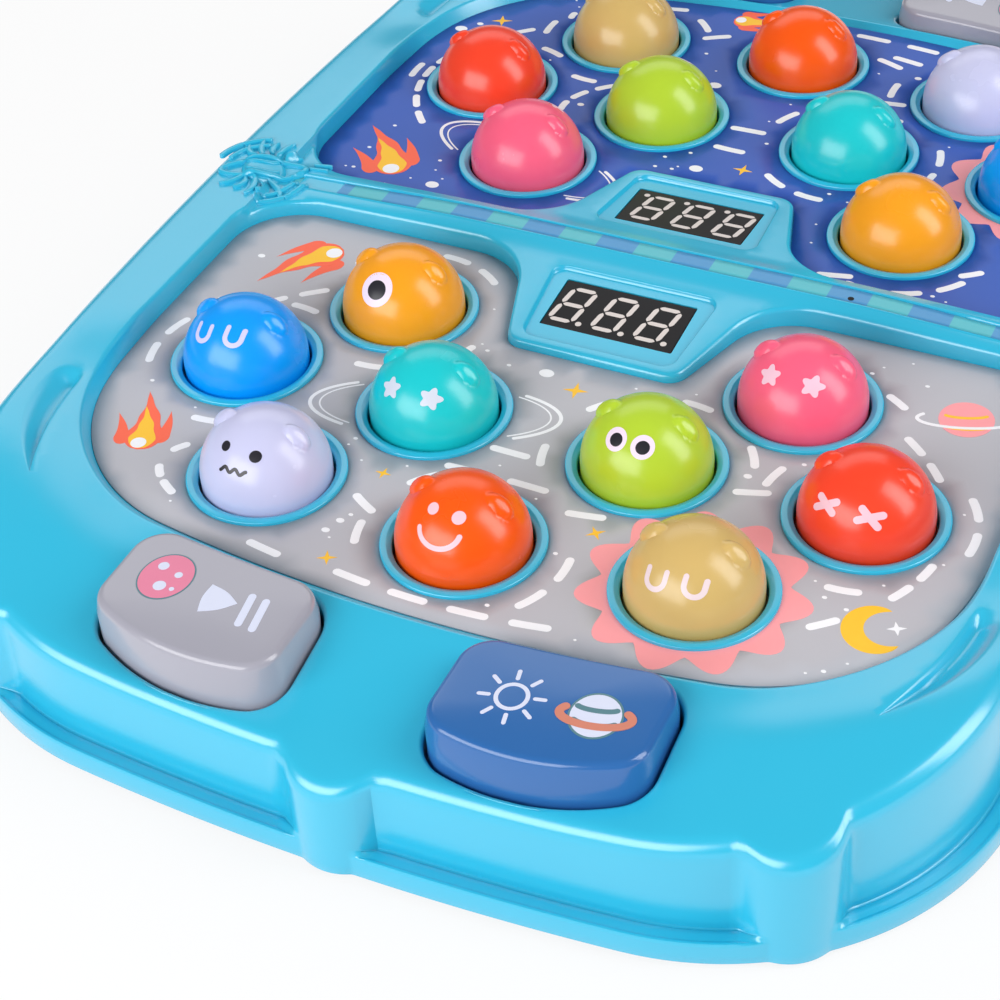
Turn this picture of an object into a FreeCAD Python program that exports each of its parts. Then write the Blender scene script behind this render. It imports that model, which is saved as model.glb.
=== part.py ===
import FreeCAD, Part

import math
import os

V = FreeCAD.Vector
UP = V(0, 0, 1)

# Table-top whack-a-mole toy for two players who face each other.
# Millimetres, +Z up, the feet stand on z = 0, the centre of the toy is x = y = 0.
# The near player sits at -Y. The far half is the near half turned by half a turn.

# Outline of the bottom rim: three tangent arcs for each quarter
HALF_LENGTH = 195.7
HALF_WIDTH = 143.5
END_RADIUS = 700.0
CORNER_RADIUS = 76.0
SIDE_RADIUS = 1600.0

# Heights
FOOT_DROP = 1.5
RIM_HEIGHT = 6.2
PANEL_HEIGHT = 37.5
WALL = 2.5
WALL_INSET = 5.2

# Cutting tools: how far they run past the face they cut, out of the top, and out of a lobe
SPARE = 1.0
TOOL_REACH = 60.0
LOBE_REACH = 12.0

# Posts on the end walls
POST_RADIUS = 13.0
POST_PROUD = 1.6
CORNER_POST_ANGLE = -54.6

# Top of the casing, above the panel sheets
FRAME_RISE = 6.6
LIP_RISE = 4.0
APRON_RISE = 2.0
APRON_START = 147.0
APRON_SLOPE = 0.21
CORNER_LIFT = 1.5
CORNER_LIFT_START = 50.0
CORNER_LIFT_SPAN = 50.0
BLEND = 1.6
EDGE_ROUND = 3.0
POST_ROUND = 2.0
POST_DROP = 0.3

# The lip dips round the panel corners: where the dip starts and over what length it grows
DIP_START_Y = 60.0
DIP_SPAN_Y = 35.0
DIP_START_X = 50.0
DIP_SPAN_X = 40.0
DIP_END_Y = 125.0
DIP_END_SPAN = 25.0

# Heights of the top surface are taken on a grid that runs past the outline
GRID_COLUMNS = 25
GRID_ROWS = 35
GRID_SPARE = 8.0

# Cross bar with its two display lobes
BAR_HALF = 8.0
BAR_EDGE_RISE = 5.6
BAR_TOP_RISE = 6.8
BAR_TOP_HALF = 4.3
BAR_END = 112.0
LOBE_SLOPE = 5.1
LOBE_END = 44.6
LOBE_HALF = 24.2
LOBE_LEAN = 17.0
LOBE_ROOT_RADIUS = 20.0
LOBE_CORNER_RADIUS = 5.5
LOBE_SPARE = 4.0

# Panel openings
PANEL_NEAR = 149.0
PANEL_END_RADIUS = 420.0
PANEL_CORNER_RADIUS = 60.0
PANEL_HALF_WIDTH = 118.6
PANEL_BAR_RADIUS = 20.0
PANEL_SLANT = 1.6
SHEET = 0.5
SHEET_GAP = 0.3
FLOOR = 2.5

# Moles: place on the near half, and the name of each colour
MOLE_PLACES = {
    "yellow": (-57.0, -39.9),
    "pink": (57.0, -39.9),
    "blue": (-85.7, -75.7),
    "turquoise": (-29.5, -76.6),
    "green": (29.5, -76.6),
    "red": (85.7, -75.7),
    "lilac": (-57.2, -114.7),
    "orange": (0.0, -119.6),
    "beige": (57.2, -114.7),
}
MOLE_RADIUS = 16.6
MOLE_CENTRE_RISE = 1.7
MOLE_WALL = 1.8
MOLE_TRAVEL = 4.0
EAR_RADIUS = 3.2
EAR_PROUD = 1.5
EAR_ANGLE = 50.0
FLANGE_PROUD = 2.2
FLANGE_THICK = 2.0
HUB_RADIUS = 8.0
SPOKE_WIDTH = 3.0
SPOKES = 4
STEM_RADIUS = 2.5
MOTION_GAP = 0.3

# Collars and guide sleeves
COLLAR_GAP = 0.7
COLLAR_OUTER = 20.35
COLLAR_RISE = 1.0
COLLAR_ROUND = 0.6
COLLAR_BEVEL = 1.3
COLLAR_BEVEL_DROP = 0.5
SLEEVE_WALL = 2.3
SLEEVE_DROP = 6.0

# End buttons, near half, on the +X side: the back follows the panel's end, the front bulges
BUTTON_NEAR_CENTRE = 15.3
BUTTON_FAR_SIDE = 73.0
BUTTON_BACK = 149.0
BUTTON_FRONT = 185.3
BUTTON_BACK_RADIUS = 420.0
BUTTON_FRONT_CENTRE = 38.0
BUTTON_FRONT_RADIUS = 60.0
BUTTON_CORNER = 10.0
BUTTON_GAP = 0.8
BUTTON_TOP_RISE = 4.4
BUTTON_TILT = 1.6
BUTTON_EDGE = 2.4
BUTTON_WALL = 2.2
BUTTON_TRAVEL = 2.5
BUTTON_FLANGE = 2.0
BUTTON_FLANGE_PROUD = 1.4
BUTTON_SKIRT = 1.6
BUTTON_SKIRT_BOTTOM = 27.3
BUTTON_STEM_SPACING = 15.0

# Displays
DISPLAY_PLACE = 25.4
DISPLAY_LENGTH = 37.6
DISPLAY_WIDTH = 19.0
DISPLAY_THICK = 7.0
DISPLAY_RISE = 2.84
DISPLAY_GAP = 0.15
DISH_LENGTH = 45.0
DISH_WIDTH = 27.0
DISH_CORNER = 4.0

# Checker strip
STRIP_CELL = 11.1
STRIP_CELLS = 17
STRIP_WIDTH = 5.8
STRIP_THICK = 0.3

# Grips in the side frames
GRIP_DEPTH = 2.0
GRIP_TIP = (110.0, 141.0)
GRIP_INNER = (117.2, 121.0)
GRIP_TOP_INNER = (120.4, 99.2)
GRIP_TOP_OUTER = (125.6, 98.8)
GRIP_OUTER = (124.0, 123.0)

# Ornament beside the cross bar: a planet with a ring, and stripes
ORNAMENT_PLACE = (-118.1, 2.2)
ORNAMENT_ROOT = 1.9
PLANET_RADIUS = 8.0
PLANET_RISE = 2.6
RING_LENGTH = 13.0
RING_WIDTH = 4.6
RING_BAND = 1.8
RING_TURN = 28.0
RING_RISE = 1.3

# Inside: boards, switches, lamps, springs
COVER_THICK = 2.5
COVER_GAP = 0.3
COVER_RECESS = 0.4
BOARD_HEIGHT = 12.0
BOARD_THICK = 1.6
BOARD_START = 33.0
BOARD_SIDE = 108.0
BOARD_POST_RADIUS = 3.0
BOARD_EDGE = 6.0
BOARD_WIDE_END = 110.0
BOARD_NARROW_START = 148.0
BOARD_END = 177.0
BOARD_SHOULDER = 82.0
BOARD_END_HALF = 78.0
SWITCH_SIDE = 6.0
SWITCH_THICK = 3.5
SWITCH_TIP_RADIUS = 1.75
SWITCH_HEIGHT = 5.0
SWITCH_SLACK = 0.2
LED_OFFSET = 11.2
LED_RADIUS = 2.5
LED_HEIGHT = 8.6
SPRING_RADIUS = 6.2
SPRING_WIRE = 0.7
SPRING_TURNS = 5
DISPLAY_BOARD_LENGTH = 46.0
DISPLAY_BOARD_WIDTH = 23.0
DISPLAY_BOSS_RADIUS = 1.7
DISPLAY_BOSS_PLACE = (20.9, 8.6)
DISPLAY_BACK = 0.1
DISPLAY_BOSS_GAP = 0.5
RIB_ROOT = 0.5
SPRING_SEAT_HALF = 1.0

# Speaker
SPEAKER_PLACE = (-100.0, 0.0)
SPEAKER_RADIUS = 18.0
SPEAKER_HEIGHT = 6.0
SPEAKER_RING = 1.6
SPEAKER_HOLE = 1.3
SPEAKER_RINGS = 2
SPEAKER_RING_STEP = 6.0

# Battery bay: three AA cells side by side along X
CELL_RADIUS = 7.1
CELL_LENGTH = 50.0
CELL_GAP = 0.6
CELL_COUNT = 3
CELL_NUB = 1.5
CELL_NUB_RADIUS = 2.7
BAY_END_ROOM = 4.0
BAY_WALL = 2.0
BAY_RIB = 1.6
BAY_RIB_PLACE = 15.0
DOOR_THICK = 2.0
DOOR_LIP = 3.0
DOOR_GAP = 0.4
DOOR_FACE_GAP = 0.05
DOOR_TAB = 9.0
CONTACT_THICK = 0.5
CONTACT_INSET = 1.5
CONTACT_BUMP_RADIUS = 2.0
CONTACT_CONE_ROOT = 4.2
CONTACT_CONE_TIP = 2.4

# Fasteners and feet
SCREW_RADIUS = 1.5
SCREW_HEAD_RADIUS = 2.9
SCREW_HEAD = 2.0
SCREW_LENGTH = 12.0
SCREW_WELL = 4.0
SIDE_SCREW_OFFSET = 26.0
THREAD_GAP = 0.02
SHANK_GAP = 0.3
HEAD_GAP = 0.4
DOOR_HEAD_GAP = 0.3
DOOR_HEAD_DROP = 0.1
BOARD_SHANK_GAP = 0.2
CROSS_LENGTH = 1.2
CROSS_WIDTH = 0.28
BOSS_RADIUS = 4.0
WELL_RADIUS = 5.0
DOOR_SCREW_LENGTH = 8.0
DOOR_SCREW_HEAD = 1.1
BOARD_SCREW_RADIUS = 1.0
BOARD_SCREW_HEAD_RADIUS = 2.2
BOARD_SCREW_HEAD = 1.3
BOARD_SCREW_LENGTH = 7.0
FOOT_RADIUS = 8.0
FOOT_RECESS = 0.7
FOOT_ROUND = 0.8
FOOT_GAP = 0.1
FOOT_INSET_X = 34.0
FOOT_INSET_Y = 62.0

# Levels worked out from the sizes above
SHELL_BOTTOM = FOOT_DROP
RIM_TOP = SHELL_BOTTOM + RIM_HEIGHT
SHEET_BOTTOM = PANEL_HEIGHT - SHEET
FLOOR_BOTTOM = SHEET_BOTTOM - FLOOR
COVER_BOTTOM = SHELL_BOTTOM + COVER_RECESS
COVER_TOP = COVER_BOTTOM + COVER_THICK
BOARD_TOP = BOARD_HEIGHT + BOARD_THICK
MOLE_CENTRE = PANEL_HEIGHT + MOLE_CENTRE_RISE
HOLE_RADIUS = MOLE_RADIUS + COLLAR_GAP
SLEEVE_BOTTOM = PANEL_HEIGHT - SLEEVE_DROP
FLANGE_TOP = SLEEVE_BOTTOM - MOTION_GAP
FLANGE_BOTTOM = FLANGE_TOP - FLANGE_THICK
STEM_BOTTOM = BOARD_TOP + SWITCH_HEIGHT + MOLE_TRAVEL + SWITCH_SLACK


def half_turn(shape):
    """The same shape on the far half."""
    turned = shape.copy()
    turned.rotate(V(0, 0, 0), UP, 180)
    return turned


def both_halves(shape):
    return [shape, half_turn(shape)]


def group(shapes):
    return Part.makeCompound(shapes)


def prism(wire, bottom, top):
    """The flat wire, drawn at z = 0, carried from bottom to top."""
    face = Part.Face(wire)
    face.translate(V(0, 0, bottom))
    return face.extrude(V(0, 0, top - bottom))


def tube(x, y, bottom, top, outer, inner):
    wall = Part.makeCylinder(outer, top - bottom, V(x, y, bottom))
    return wall.cut(Part.makeCylinder(inner, top - bottom, V(x, y, bottom)))


def polygon(points):
    return Part.makePolygon([V(x, y, 0) for x, y in points] + [V(points[0][0], points[0][1], 0)])


def smooth(value):
    """0 below 0, 1 above 1, and an even S between."""
    t = min(max(value, 0.0), 1.0)
    return t * t * (3.0 - 2.0 * t)


def soft_min(a, b, k):
    """The smaller of a and b, rounded over a width k where they cross."""
    return -k * math.log(math.exp(-a / k) + math.exp(-b / k))


def arc_through(a, b, c):
    return Part.Arc(V(*a), V(*b), V(*c)).toShape()


def rim_outline(inset):
    """Closed outline of the rim, moved inwards by inset: end, corner and side arcs in turn."""
    end_y = HALF_LENGTH - END_RADIUS
    side_x = HALF_WIDTH - SIDE_RADIUS
    # The corner circle touches the end circle and the side circle from inside
    reach_end = END_RADIUS - CORNER_RADIUS
    reach_side = SIDE_RADIUS - CORNER_RADIUS
    span = math.hypot(side_x, end_y)
    along = (span ** 2 + reach_side ** 2 - reach_end ** 2) / (2 * span)
    across = math.sqrt(reach_side ** 2 - along ** 2)
    ux, uy = -side_x / span, end_y / span
    centre_x = side_x + along * ux - across * uy
    centre_y = along * uy + across * ux
    to_end = math.atan2(centre_y - end_y, centre_x)
    to_side = math.atan2(centre_y, centre_x - side_x)

    def end_point(angle):
        radius = END_RADIUS - inset
        return (radius * math.cos(angle), end_y + radius * math.sin(angle), 0)

    def corner_point(angle):
        radius = CORNER_RADIUS - inset
        return (centre_x + radius * math.cos(angle), centre_y + radius * math.sin(angle), 0)

    def side_point(angle):
        radius = SIDE_RADIUS - inset
        return (side_x + radius * math.cos(angle), radius * math.sin(angle), 0)

    def flip(point, sx, sy):
        return (sx * point[0], sy * point[1], 0)

    middle = 0.5 * (to_end + to_side)
    edges = []
    edges.append(arc_through(flip(end_point(to_end), -1, -1), flip(end_point(math.pi / 2), 1, -1),
                             flip(end_point(to_end), 1, -1)))
    edges.append(arc_through(flip(end_point(to_end), 1, -1), flip(corner_point(middle), 1, -1),
                             flip(side_point(to_side), 1, -1)))
    edges.append(arc_through(flip(side_point(to_side), 1, -1), side_point(0), side_point(to_side)))
    edges.append(arc_through(side_point(to_side), corner_point(middle), end_point(to_end)))
    edges.append(arc_through(end_point(to_end), end_point(math.pi / 2),
                             flip(end_point(to_end), -1, 1)))
    edges.append(arc_through(flip(end_point(to_end), -1, 1), flip(corner_point(middle), -1, 1),
                             flip(side_point(to_side), -1, 1)))
    edges.append(arc_through(flip(side_point(to_side), -1, 1), flip(side_point(0), -1, 1),
                             flip(side_point(to_side), -1, -1)))
    edges.append(arc_through(flip(side_point(to_side), -1, -1), flip(corner_point(middle), -1, -1),
                             flip(end_point(to_end), -1, -1)))
    return Part.Wire(edges), (centre_x, centre_y)


def post_places():
    """Centre posts and corner posts of both ends."""
    corner_x, corner_y = rim_outline(0)[1]
    reach = CORNER_RADIUS + POST_PROUD - POST_RADIUS
    angle = math.radians(CORNER_POST_ANGLE)
    x = corner_x + reach * math.cos(angle)
    y = -corner_y + reach * math.sin(angle)
    end = -(HALF_LENGTH + POST_PROUD - POST_RADIUS)
    return [(0, end), (x, y), (-x, y), (0, -end), (x, -y), (-x, -y)]


def panel_outline(grow):
    """Outline of the near panel opening at its lip, moved outwards by grow.

    The end, the corners and the sides are tangent arcs and lines, and the bar side has the
    lobe, drawn as a slanted tab with fillets."""
    half = PANEL_HALF_WIDTH + grow
    near = -(PANEL_NEAR + grow)
    end_radius = PANEL_END_RADIUS + grow
    corner = PANEL_CORNER_RADIUS + grow
    centre_x = half - corner
    end_centre = near + end_radius
    centre_y = end_centre - math.sqrt((end_radius - corner) ** 2 - centre_x ** 2)
    touch = math.atan2(centre_y - end_centre, centre_x)
    middle = 0.5 * touch
    touch_point = (end_radius * math.cos(touch), end_centre + end_radius * math.sin(touch))
    middle_point = (centre_x + corner * math.cos(middle), centre_y + corner * math.sin(middle))

    bar = -(BAR_HALF - grow)
    bar_radius = PANEL_BAR_RADIUS + grow
    lean = math.radians(LOBE_LEAN)
    lobe_end = -(LOBE_END - grow)
    lobe_half = LOBE_HALF - grow / math.cos(lean)
    root = LOBE_ROOT_RADIUS + grow
    tip = LOBE_CORNER_RADIUS - grow

    # Slanted side of the lobe, from its end corner up to the bar line
    def side_x(y):
        return lobe_half + (y + LOBE_END) * math.tan(lean)

    root_cut = root * math.tan((math.pi / 2 - lean) / 2)
    tip_cut = tip * math.tan((math.pi / 2 - lean) / 2)
    slope = (math.sin(lean), math.cos(lean))
    corner_x, corner_y = side_x(lobe_end), lobe_end
    top_x = side_x(bar)
    right = []
    right.append(("line", (corner_x - tip_cut, corner_y)))
    right.append(("arc", (corner_x - tip_cut, corner_y + tip), tip,
                  (corner_x + tip_cut * slope[0], corner_y + tip_cut * slope[1])))
    right.append(("line", (top_x - root_cut * slope[0], bar - root_cut * slope[1])))
    right.append(("arc", (top_x + root_cut, bar - root), root, (top_x + root_cut, bar)))
    right.append(("line", (half - bar_radius, bar)))
    right.append(("arc", (half - bar_radius, bar - bar_radius), bar_radius, (half, bar - bar_radius)))
    right.append(("line", (half, centre_y)))
    right.append(("through", middle_point, touch_point))

    def walk(steps, start, mirror):
        edges = []
        here = start
        for step in steps:
            target = step[-1]
            if step[0] == "line":
                edges.append(Part.makeLine(V(mirror * here[0], here[1], 0),
                                           V(mirror * target[0], target[1], 0)))
            elif step[0] == "arc":
                cx, cy = step[1]
                mx, my = 0.5 * (here[0] + target[0]) - cx, 0.5 * (here[1] + target[1]) - cy
                scale = step[2] / math.hypot(mx, my)
                edges.append(arc_through((mirror * here[0], here[1], 0),
                                         (mirror * (cx + mx * scale), cy + my * scale, 0),
                                         (mirror * target[0], target[1], 0)))
            else:
                via = step[1]
                edges.append(arc_through((mirror * here[0], here[1], 0), (mirror * via[0], via[1], 0),
                                         (mirror * target[0], target[1], 0)))
            here = target
        return edges

    start = (0.0, lobe_end)
    edges = walk(right, start, 1) + walk(right, start, -1)
    edges.append(arc_through((touch_point[0], touch_point[1], 0), (0, near, 0),
                             (-touch_point[0], touch_point[1], 0)))
    return Part.Wire(Part.__sortEdges__(edges))


def panel_tool():
    """Space over the near panel: a slanted wall from the foot up to the lip, then upright."""
    foot, lip = panel_outline(-PANEL_SLANT), panel_outline(0)
    level = PANEL_HEIGHT + LIP_RISE
    foot.translate(V(0, 0, SHEET_BOTTOM))
    lip.translate(V(0, 0, level))
    return Part.makeLoft([foot, lip], True, True).fuse(prism(panel_outline(0), level, TOOL_REACH))


def casing_height(x, y):
    """Height of the frames and aprons above the table at a place in plan."""
    ax, ay = abs(x), abs(y)
    lift = CORNER_LIFT * smooth((ax - CORNER_LIFT_START) / CORNER_LIFT_SPAN)
    apron = APRON_RISE + lift - APRON_SLOPE * (ay - APRON_START)
    rise = soft_min(FRAME_RISE, apron, BLEND)
    # The lip dips round the corners of the panel, while the outer edge stays high
    inward = 1 - smooth((ax - PANEL_HALF_WIDTH) / (HALF_WIDTH - PANEL_HALF_WIDTH - WALL_INSET))
    corner = smooth((ay - DIP_START_Y) / DIP_SPAN_Y) * smooth((ax - DIP_START_X) / DIP_SPAN_X)
    corner *= 1 - smooth((ay - DIP_END_Y) / DIP_END_SPAN)
    return PANEL_HEIGHT + rise - (FRAME_RISE - LIP_RISE) * corner * inward


def above_casing(drop):
    """Everything over the casing's top surface, lowered by drop: a smooth surface through
    heights on a grid, carried upwards."""
    reach_x, reach_y = HALF_WIDTH + GRID_SPARE, HALF_LENGTH + GRID_SPARE
    grid = []
    for i in range(GRID_COLUMNS):
        x = -reach_x + 2 * reach_x * i / (GRID_COLUMNS - 1)
        line = []
        for j in range(GRID_ROWS):
            y = -reach_y + 2 * reach_y * j / (GRID_ROWS - 1)
            line.append(V(x, y, casing_height(x, y) - drop))
        grid.append(line)
    surface = Part.BSplineSurface()
    surface.interpolate(grid)
    return surface.toShape().extrude(V(0, 0, TOOL_REACH))


def lobe_height(y):
    """Top of a display lobe above the table."""
    return PANEL_HEIGHT + BAR_EDGE_RISE - (abs(y) - BAR_HALF) * math.tan(math.radians(LOBE_SLOPE))


def bar_profile(drop):
    """Cross section of the bar and both lobes, as points (y, z)."""
    low = FLOOR_BOTTOM
    reach = LOBE_END + LOBE_SPARE
    return [(-reach, low), (-reach, lobe_height(reach) - drop), (-BAR_HALF, lobe_height(BAR_HALF) - drop),
            (-BAR_TOP_HALF, PANEL_HEIGHT + BAR_TOP_RISE - drop),
            (BAR_TOP_HALF, PANEL_HEIGHT + BAR_TOP_RISE - drop),
            (BAR_HALF, lobe_height(BAR_HALF) - drop), (reach, lobe_height(reach) - drop), (reach, low)]


def bar_block(drop):
    """The bar's cross section, carried along X between the side frames."""
    points = [V(-BAR_END, y, z) for y, z in bar_profile(drop)]
    face = Part.Face(Part.makePolygon(points + [points[0]]))
    return face.extrude(V(2 * BAR_END, 0, 0))


def button_outline(inset):
    """Outline of the right button's hole, moved inwards by inset. Its back is an arc along the
    panel's end, and its front a rounder arc. The corners are rounded on the solid."""
    left, right = BUTTON_NEAR_CENTRE + inset, BUTTON_FAR_SIDE - inset
    middle = 0.5 * (BUTTON_NEAR_CENTRE + BUTTON_FAR_SIDE)
    back_radius = BUTTON_BACK_RADIUS + inset
    front_radius = BUTTON_FRONT_RADIUS - inset
    back_centre = -BUTTON_BACK + math.sqrt(BUTTON_BACK_RADIUS ** 2 - middle ** 2)
    front_centre = BUTTON_FRONT_RADIUS - BUTTON_FRONT

    def back(x):
        return (x, back_centre - math.sqrt(back_radius ** 2 - x ** 2), 0)

    def front(x):
        across = x - BUTTON_FRONT_CENTRE
        return (x, front_centre - math.sqrt(front_radius ** 2 - across ** 2), 0)

    edges = [arc_through(front(left), front(middle), front(right)),
             Part.makeLine(V(*front(right)), V(*back(right))),
             arc_through(back(right), back(middle), back(left)),
             Part.makeLine(V(*back(left)), V(*front(left)))]
    return Part.Wire(edges)


def uprights(body):
    """Edges of a prism that stand upright: their ends are over each other in plan."""
    return [e for e in body.Edges
            if math.hypot(e.Vertexes[0].X - e.Vertexes[-1].X, e.Vertexes[0].Y - e.Vertexes[-1].Y) < 1e-6]


def button_prism(inset, bottom, top):
    body = prism(button_outline(inset), bottom, top)
    return body.makeFillet(BUTTON_CORNER - inset, uprights(body))


def mirrored_x(shape):
    return shape.mirror(V(0, 0, 0), V(1, 0, 0))


def button_centre():
    return (0.5 * (BUTTON_NEAR_CENTRE + BUTTON_FAR_SIDE), -0.5 * (BUTTON_BACK + BUTTON_FRONT))


def collar(x, y):
    """Collar above the panel and guide sleeve below it, as one turned ring: rounded outside
    and bevelled towards the hole."""
    outer, inner = COLLAR_OUTER, HOLE_RADIUS
    sleeve = HOLE_RADIUS + SLEEVE_WALL
    top = PANEL_HEIGHT + COLLAR_RISE
    r = COLLAR_ROUND
    slant = math.sin(math.radians(45)) * r
    root = SHEET_BOTTOM - FLOOR / 2
    points = [V(inner, 0, SLEEVE_BOTTOM), V(sleeve, 0, SLEEVE_BOTTOM), V(sleeve, 0, root),
              V(outer, 0, root), V(outer, 0, top - r)]
    edges = [Part.makeLine(points[i], points[i + 1]) for i in range(len(points) - 1)]
    edges.append(Part.Arc(V(outer, 0, top - r), V(outer - r + slant, 0, top - r + slant),
                          V(outer - r, 0, top)).toShape())
    rest = [V(outer - r, 0, top), V(inner + COLLAR_BEVEL, 0, top), V(inner, 0, top - COLLAR_BEVEL_DROP),
            points[0]]
    edges += [Part.makeLine(rest[i], rest[i + 1]) for i in range(len(rest) - 1)]
    ring = Part.Face(Part.Wire(edges)).revolve(V(0, 0, 0), UP, 360)
    ring.translate(V(x, y, 0))
    return ring


def display_frame(x=0.0, y=0.0, z=0.0):
    """Places a shape drawn at the near display's face: tilted towards the near player."""
    tilt = FreeCAD.Rotation(V(1, 0, 0), LOBE_SLOPE)
    return FreeCAD.Placement(V(0, -DISPLAY_PLACE, PANEL_HEIGHT + DISPLAY_RISE), tilt).multiply(
        FreeCAD.Placement(V(x, y, z), FreeCAD.Rotation()))


def placed(shape, placement):
    moved = shape.copy()
    moved.Placement = placement.multiply(moved.Placement)
    return moved


def centred_box(length, width, bottom, top):
    return Part.makeBox(length, width, top - bottom, V(-length / 2, -width / 2, bottom))


def boss_places():
    """Case screws: one in each post, and one near the middle of each side."""
    side = HALF_WIDTH - WALL_INSET - WALL - WELL_RADIUS - 2 * COVER_GAP
    return post_places() + [(side, SIDE_SCREW_OFFSET), (-side, -SIDE_SCREW_OFFSET)]


def board_post_places():
    """Posts that carry the near board: along its edge at the bar, in the middle and at the end."""
    side, first, last = BOARD_SIDE - BOARD_EDGE, -BOARD_START - BOARD_EDGE, BOARD_EDGE - BOARD_END
    return [(-side, first), (0.0, first), (side, first),
            (-BOARD_SHOULDER, -BOARD_WIDE_END), (BOARD_SHOULDER, -BOARD_WIDE_END), (0.0, last)]


def grip_outline():
    """Crescent in the right side frame of the near half."""
    tip, inner, top_inner, top_outer, outer = [
        (x, -y, 0) for x, y in (GRIP_TIP, GRIP_INNER, GRIP_TOP_INNER, GRIP_TOP_OUTER, GRIP_OUTER)]
    return Part.Wire([arc_through(tip, inner, top_inner), Part.makeLine(V(*top_inner), V(*top_outer)),
                      arc_through(top_outer, outer, tip)])


def all_four(shape):
    """The shape on both sides of both halves."""
    return both_halves(shape) + both_halves(mirrored_x(shape))


def ornament():
    """A planet with a ring on the left of the bar: a shallow ball and a raised elliptic band."""
    x, y = ORNAMENT_PLACE
    base = PANEL_HEIGHT + FRAME_RISE
    ball_radius = (PLANET_RADIUS ** 2 + PLANET_RISE ** 2) / (2 * PLANET_RISE)
    ball = Part.makeSphere(ball_radius, V(0, 0, base + PLANET_RISE - ball_radius))
    root = base - ORNAMENT_ROOT
    planet = ball.common(Part.makeCylinder(PLANET_RADIUS, PLANET_RISE + ORNAMENT_ROOT, V(0, 0, root)))

    def ellipse(inset):
        return Part.Wire([Part.Ellipse(V(0, 0, 0), RING_LENGTH - inset, RING_WIDTH - inset).toShape()])

    band = prism(ellipse(0), root, base + RING_RISE).cut(prism(ellipse(RING_BAND), root, TOOL_REACH))
    band.rotate(V(0, 0, 0), UP, RING_TURN)
    shape = planet.fuse(band)
    shape.translate(V(x, y, 0))
    return shape


def outer_block():
    """Rim, wall and posts as one block under the casing's top surface, with rounded top edges."""
    rim = prism(rim_outline(0)[0], SHELL_BOTTOM, RIM_TOP)
    wall = prism(rim_outline(WALL_INSET)[0], SHELL_BOTTOM, TOOL_REACH).cut(above_casing(0))
    wall = wall.makeFillet(EDGE_ROUND, [e for e in wall.Edges if e.BoundBox.ZMin > 2 * RIM_TOP])
    over, posts = above_casing(POST_DROP), []
    for x, y in post_places():
        post = Part.makeCylinder(POST_RADIUS, TOOL_REACH, V(x, y, SHELL_BOTTOM)).cut(over)
        posts.append(post.makeFillet(POST_ROUND, [e for e in post.Edges if e.BoundBox.ZMin > 2 * RIM_TOP]))
    return rim.fuse([wall] + posts)


def cavity():
    """Hollow inside of the shell: it keeps one wall thickness under frames, bar, panels, grips."""
    space = prism(rim_outline(WALL_INSET + WALL)[0], SHELL_BOTTOM - SPARE, TOOL_REACH)
    space = space.fuse([Part.makeCylinder(POST_RADIUS - WALL, TOOL_REACH, V(x, y, SHELL_BOTTOM - SPARE))
                        for x, y in post_places()])
    space = space.cut(above_casing(WALL))
    roof = middle_box().cut(bar_block(WALL))
    floors = both_halves(prism(panel_outline(WALL), FLOOR_BOTTOM, TOOL_REACH))
    pads = all_four(prism(grip_outline().makeOffset2D(WALL), FLOOR_BOTTOM, TOOL_REACH))
    return space.cut([roof] + floors + pads)


def middle_box():
    """The region that the cross bar and its lobes replace."""
    reach = LOBE_END + LOBE_SPARE
    return Part.makeBox(2 * BAR_END, 2 * reach, TOOL_REACH, V(-BAR_END, -reach, FLOOR_BOTTOM))


def button_skirts():
    """Walls that hang from the apron round the button holes and guide the buttons."""
    skirt = button_prism(-BUTTON_SKIRT, BUTTON_SKIRT_BOTTOM, TOOL_REACH).cut(above_casing(WALL / 2))
    return all_four(skirt)


def display_bosses():
    """Posts under the roof of a lobe that carry the display's board."""
    bosses = []
    for x in (-DISPLAY_BOSS_PLACE[0], DISPLAY_BOSS_PLACE[0]):
        for y in (-DISPLAY_BOSS_PLACE[1], DISPLAY_BOSS_PLACE[1]):
            boss = Part.makeCylinder(DISPLAY_BOSS_RADIUS, DISPLAY_THICK - DISPLAY_BOSS_GAP,
                                     V(x, y, -DISPLAY_BACK - DISPLAY_THICK))
            bosses += both_halves(placed(boss, display_frame()))
    return bosses


def shell_bosses():
    """Posts for the case screws, from the tops of the cover's wells up into the roof."""
    low = COVER_BOTTOM + SCREW_WELL + WALL
    bosses, bores = [], []
    for x, y in boss_places():
        high = casing_height(x, y) - WALL / 2
        bosses.append(Part.makeCylinder(BOSS_RADIUS, high - low, V(x, y, low)))
        bores.append(Part.makeCylinder(SCREW_RADIUS + THREAD_GAP, SCREW_LENGTH, V(x, y, low - SPARE)))
    return bosses, bores


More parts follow.
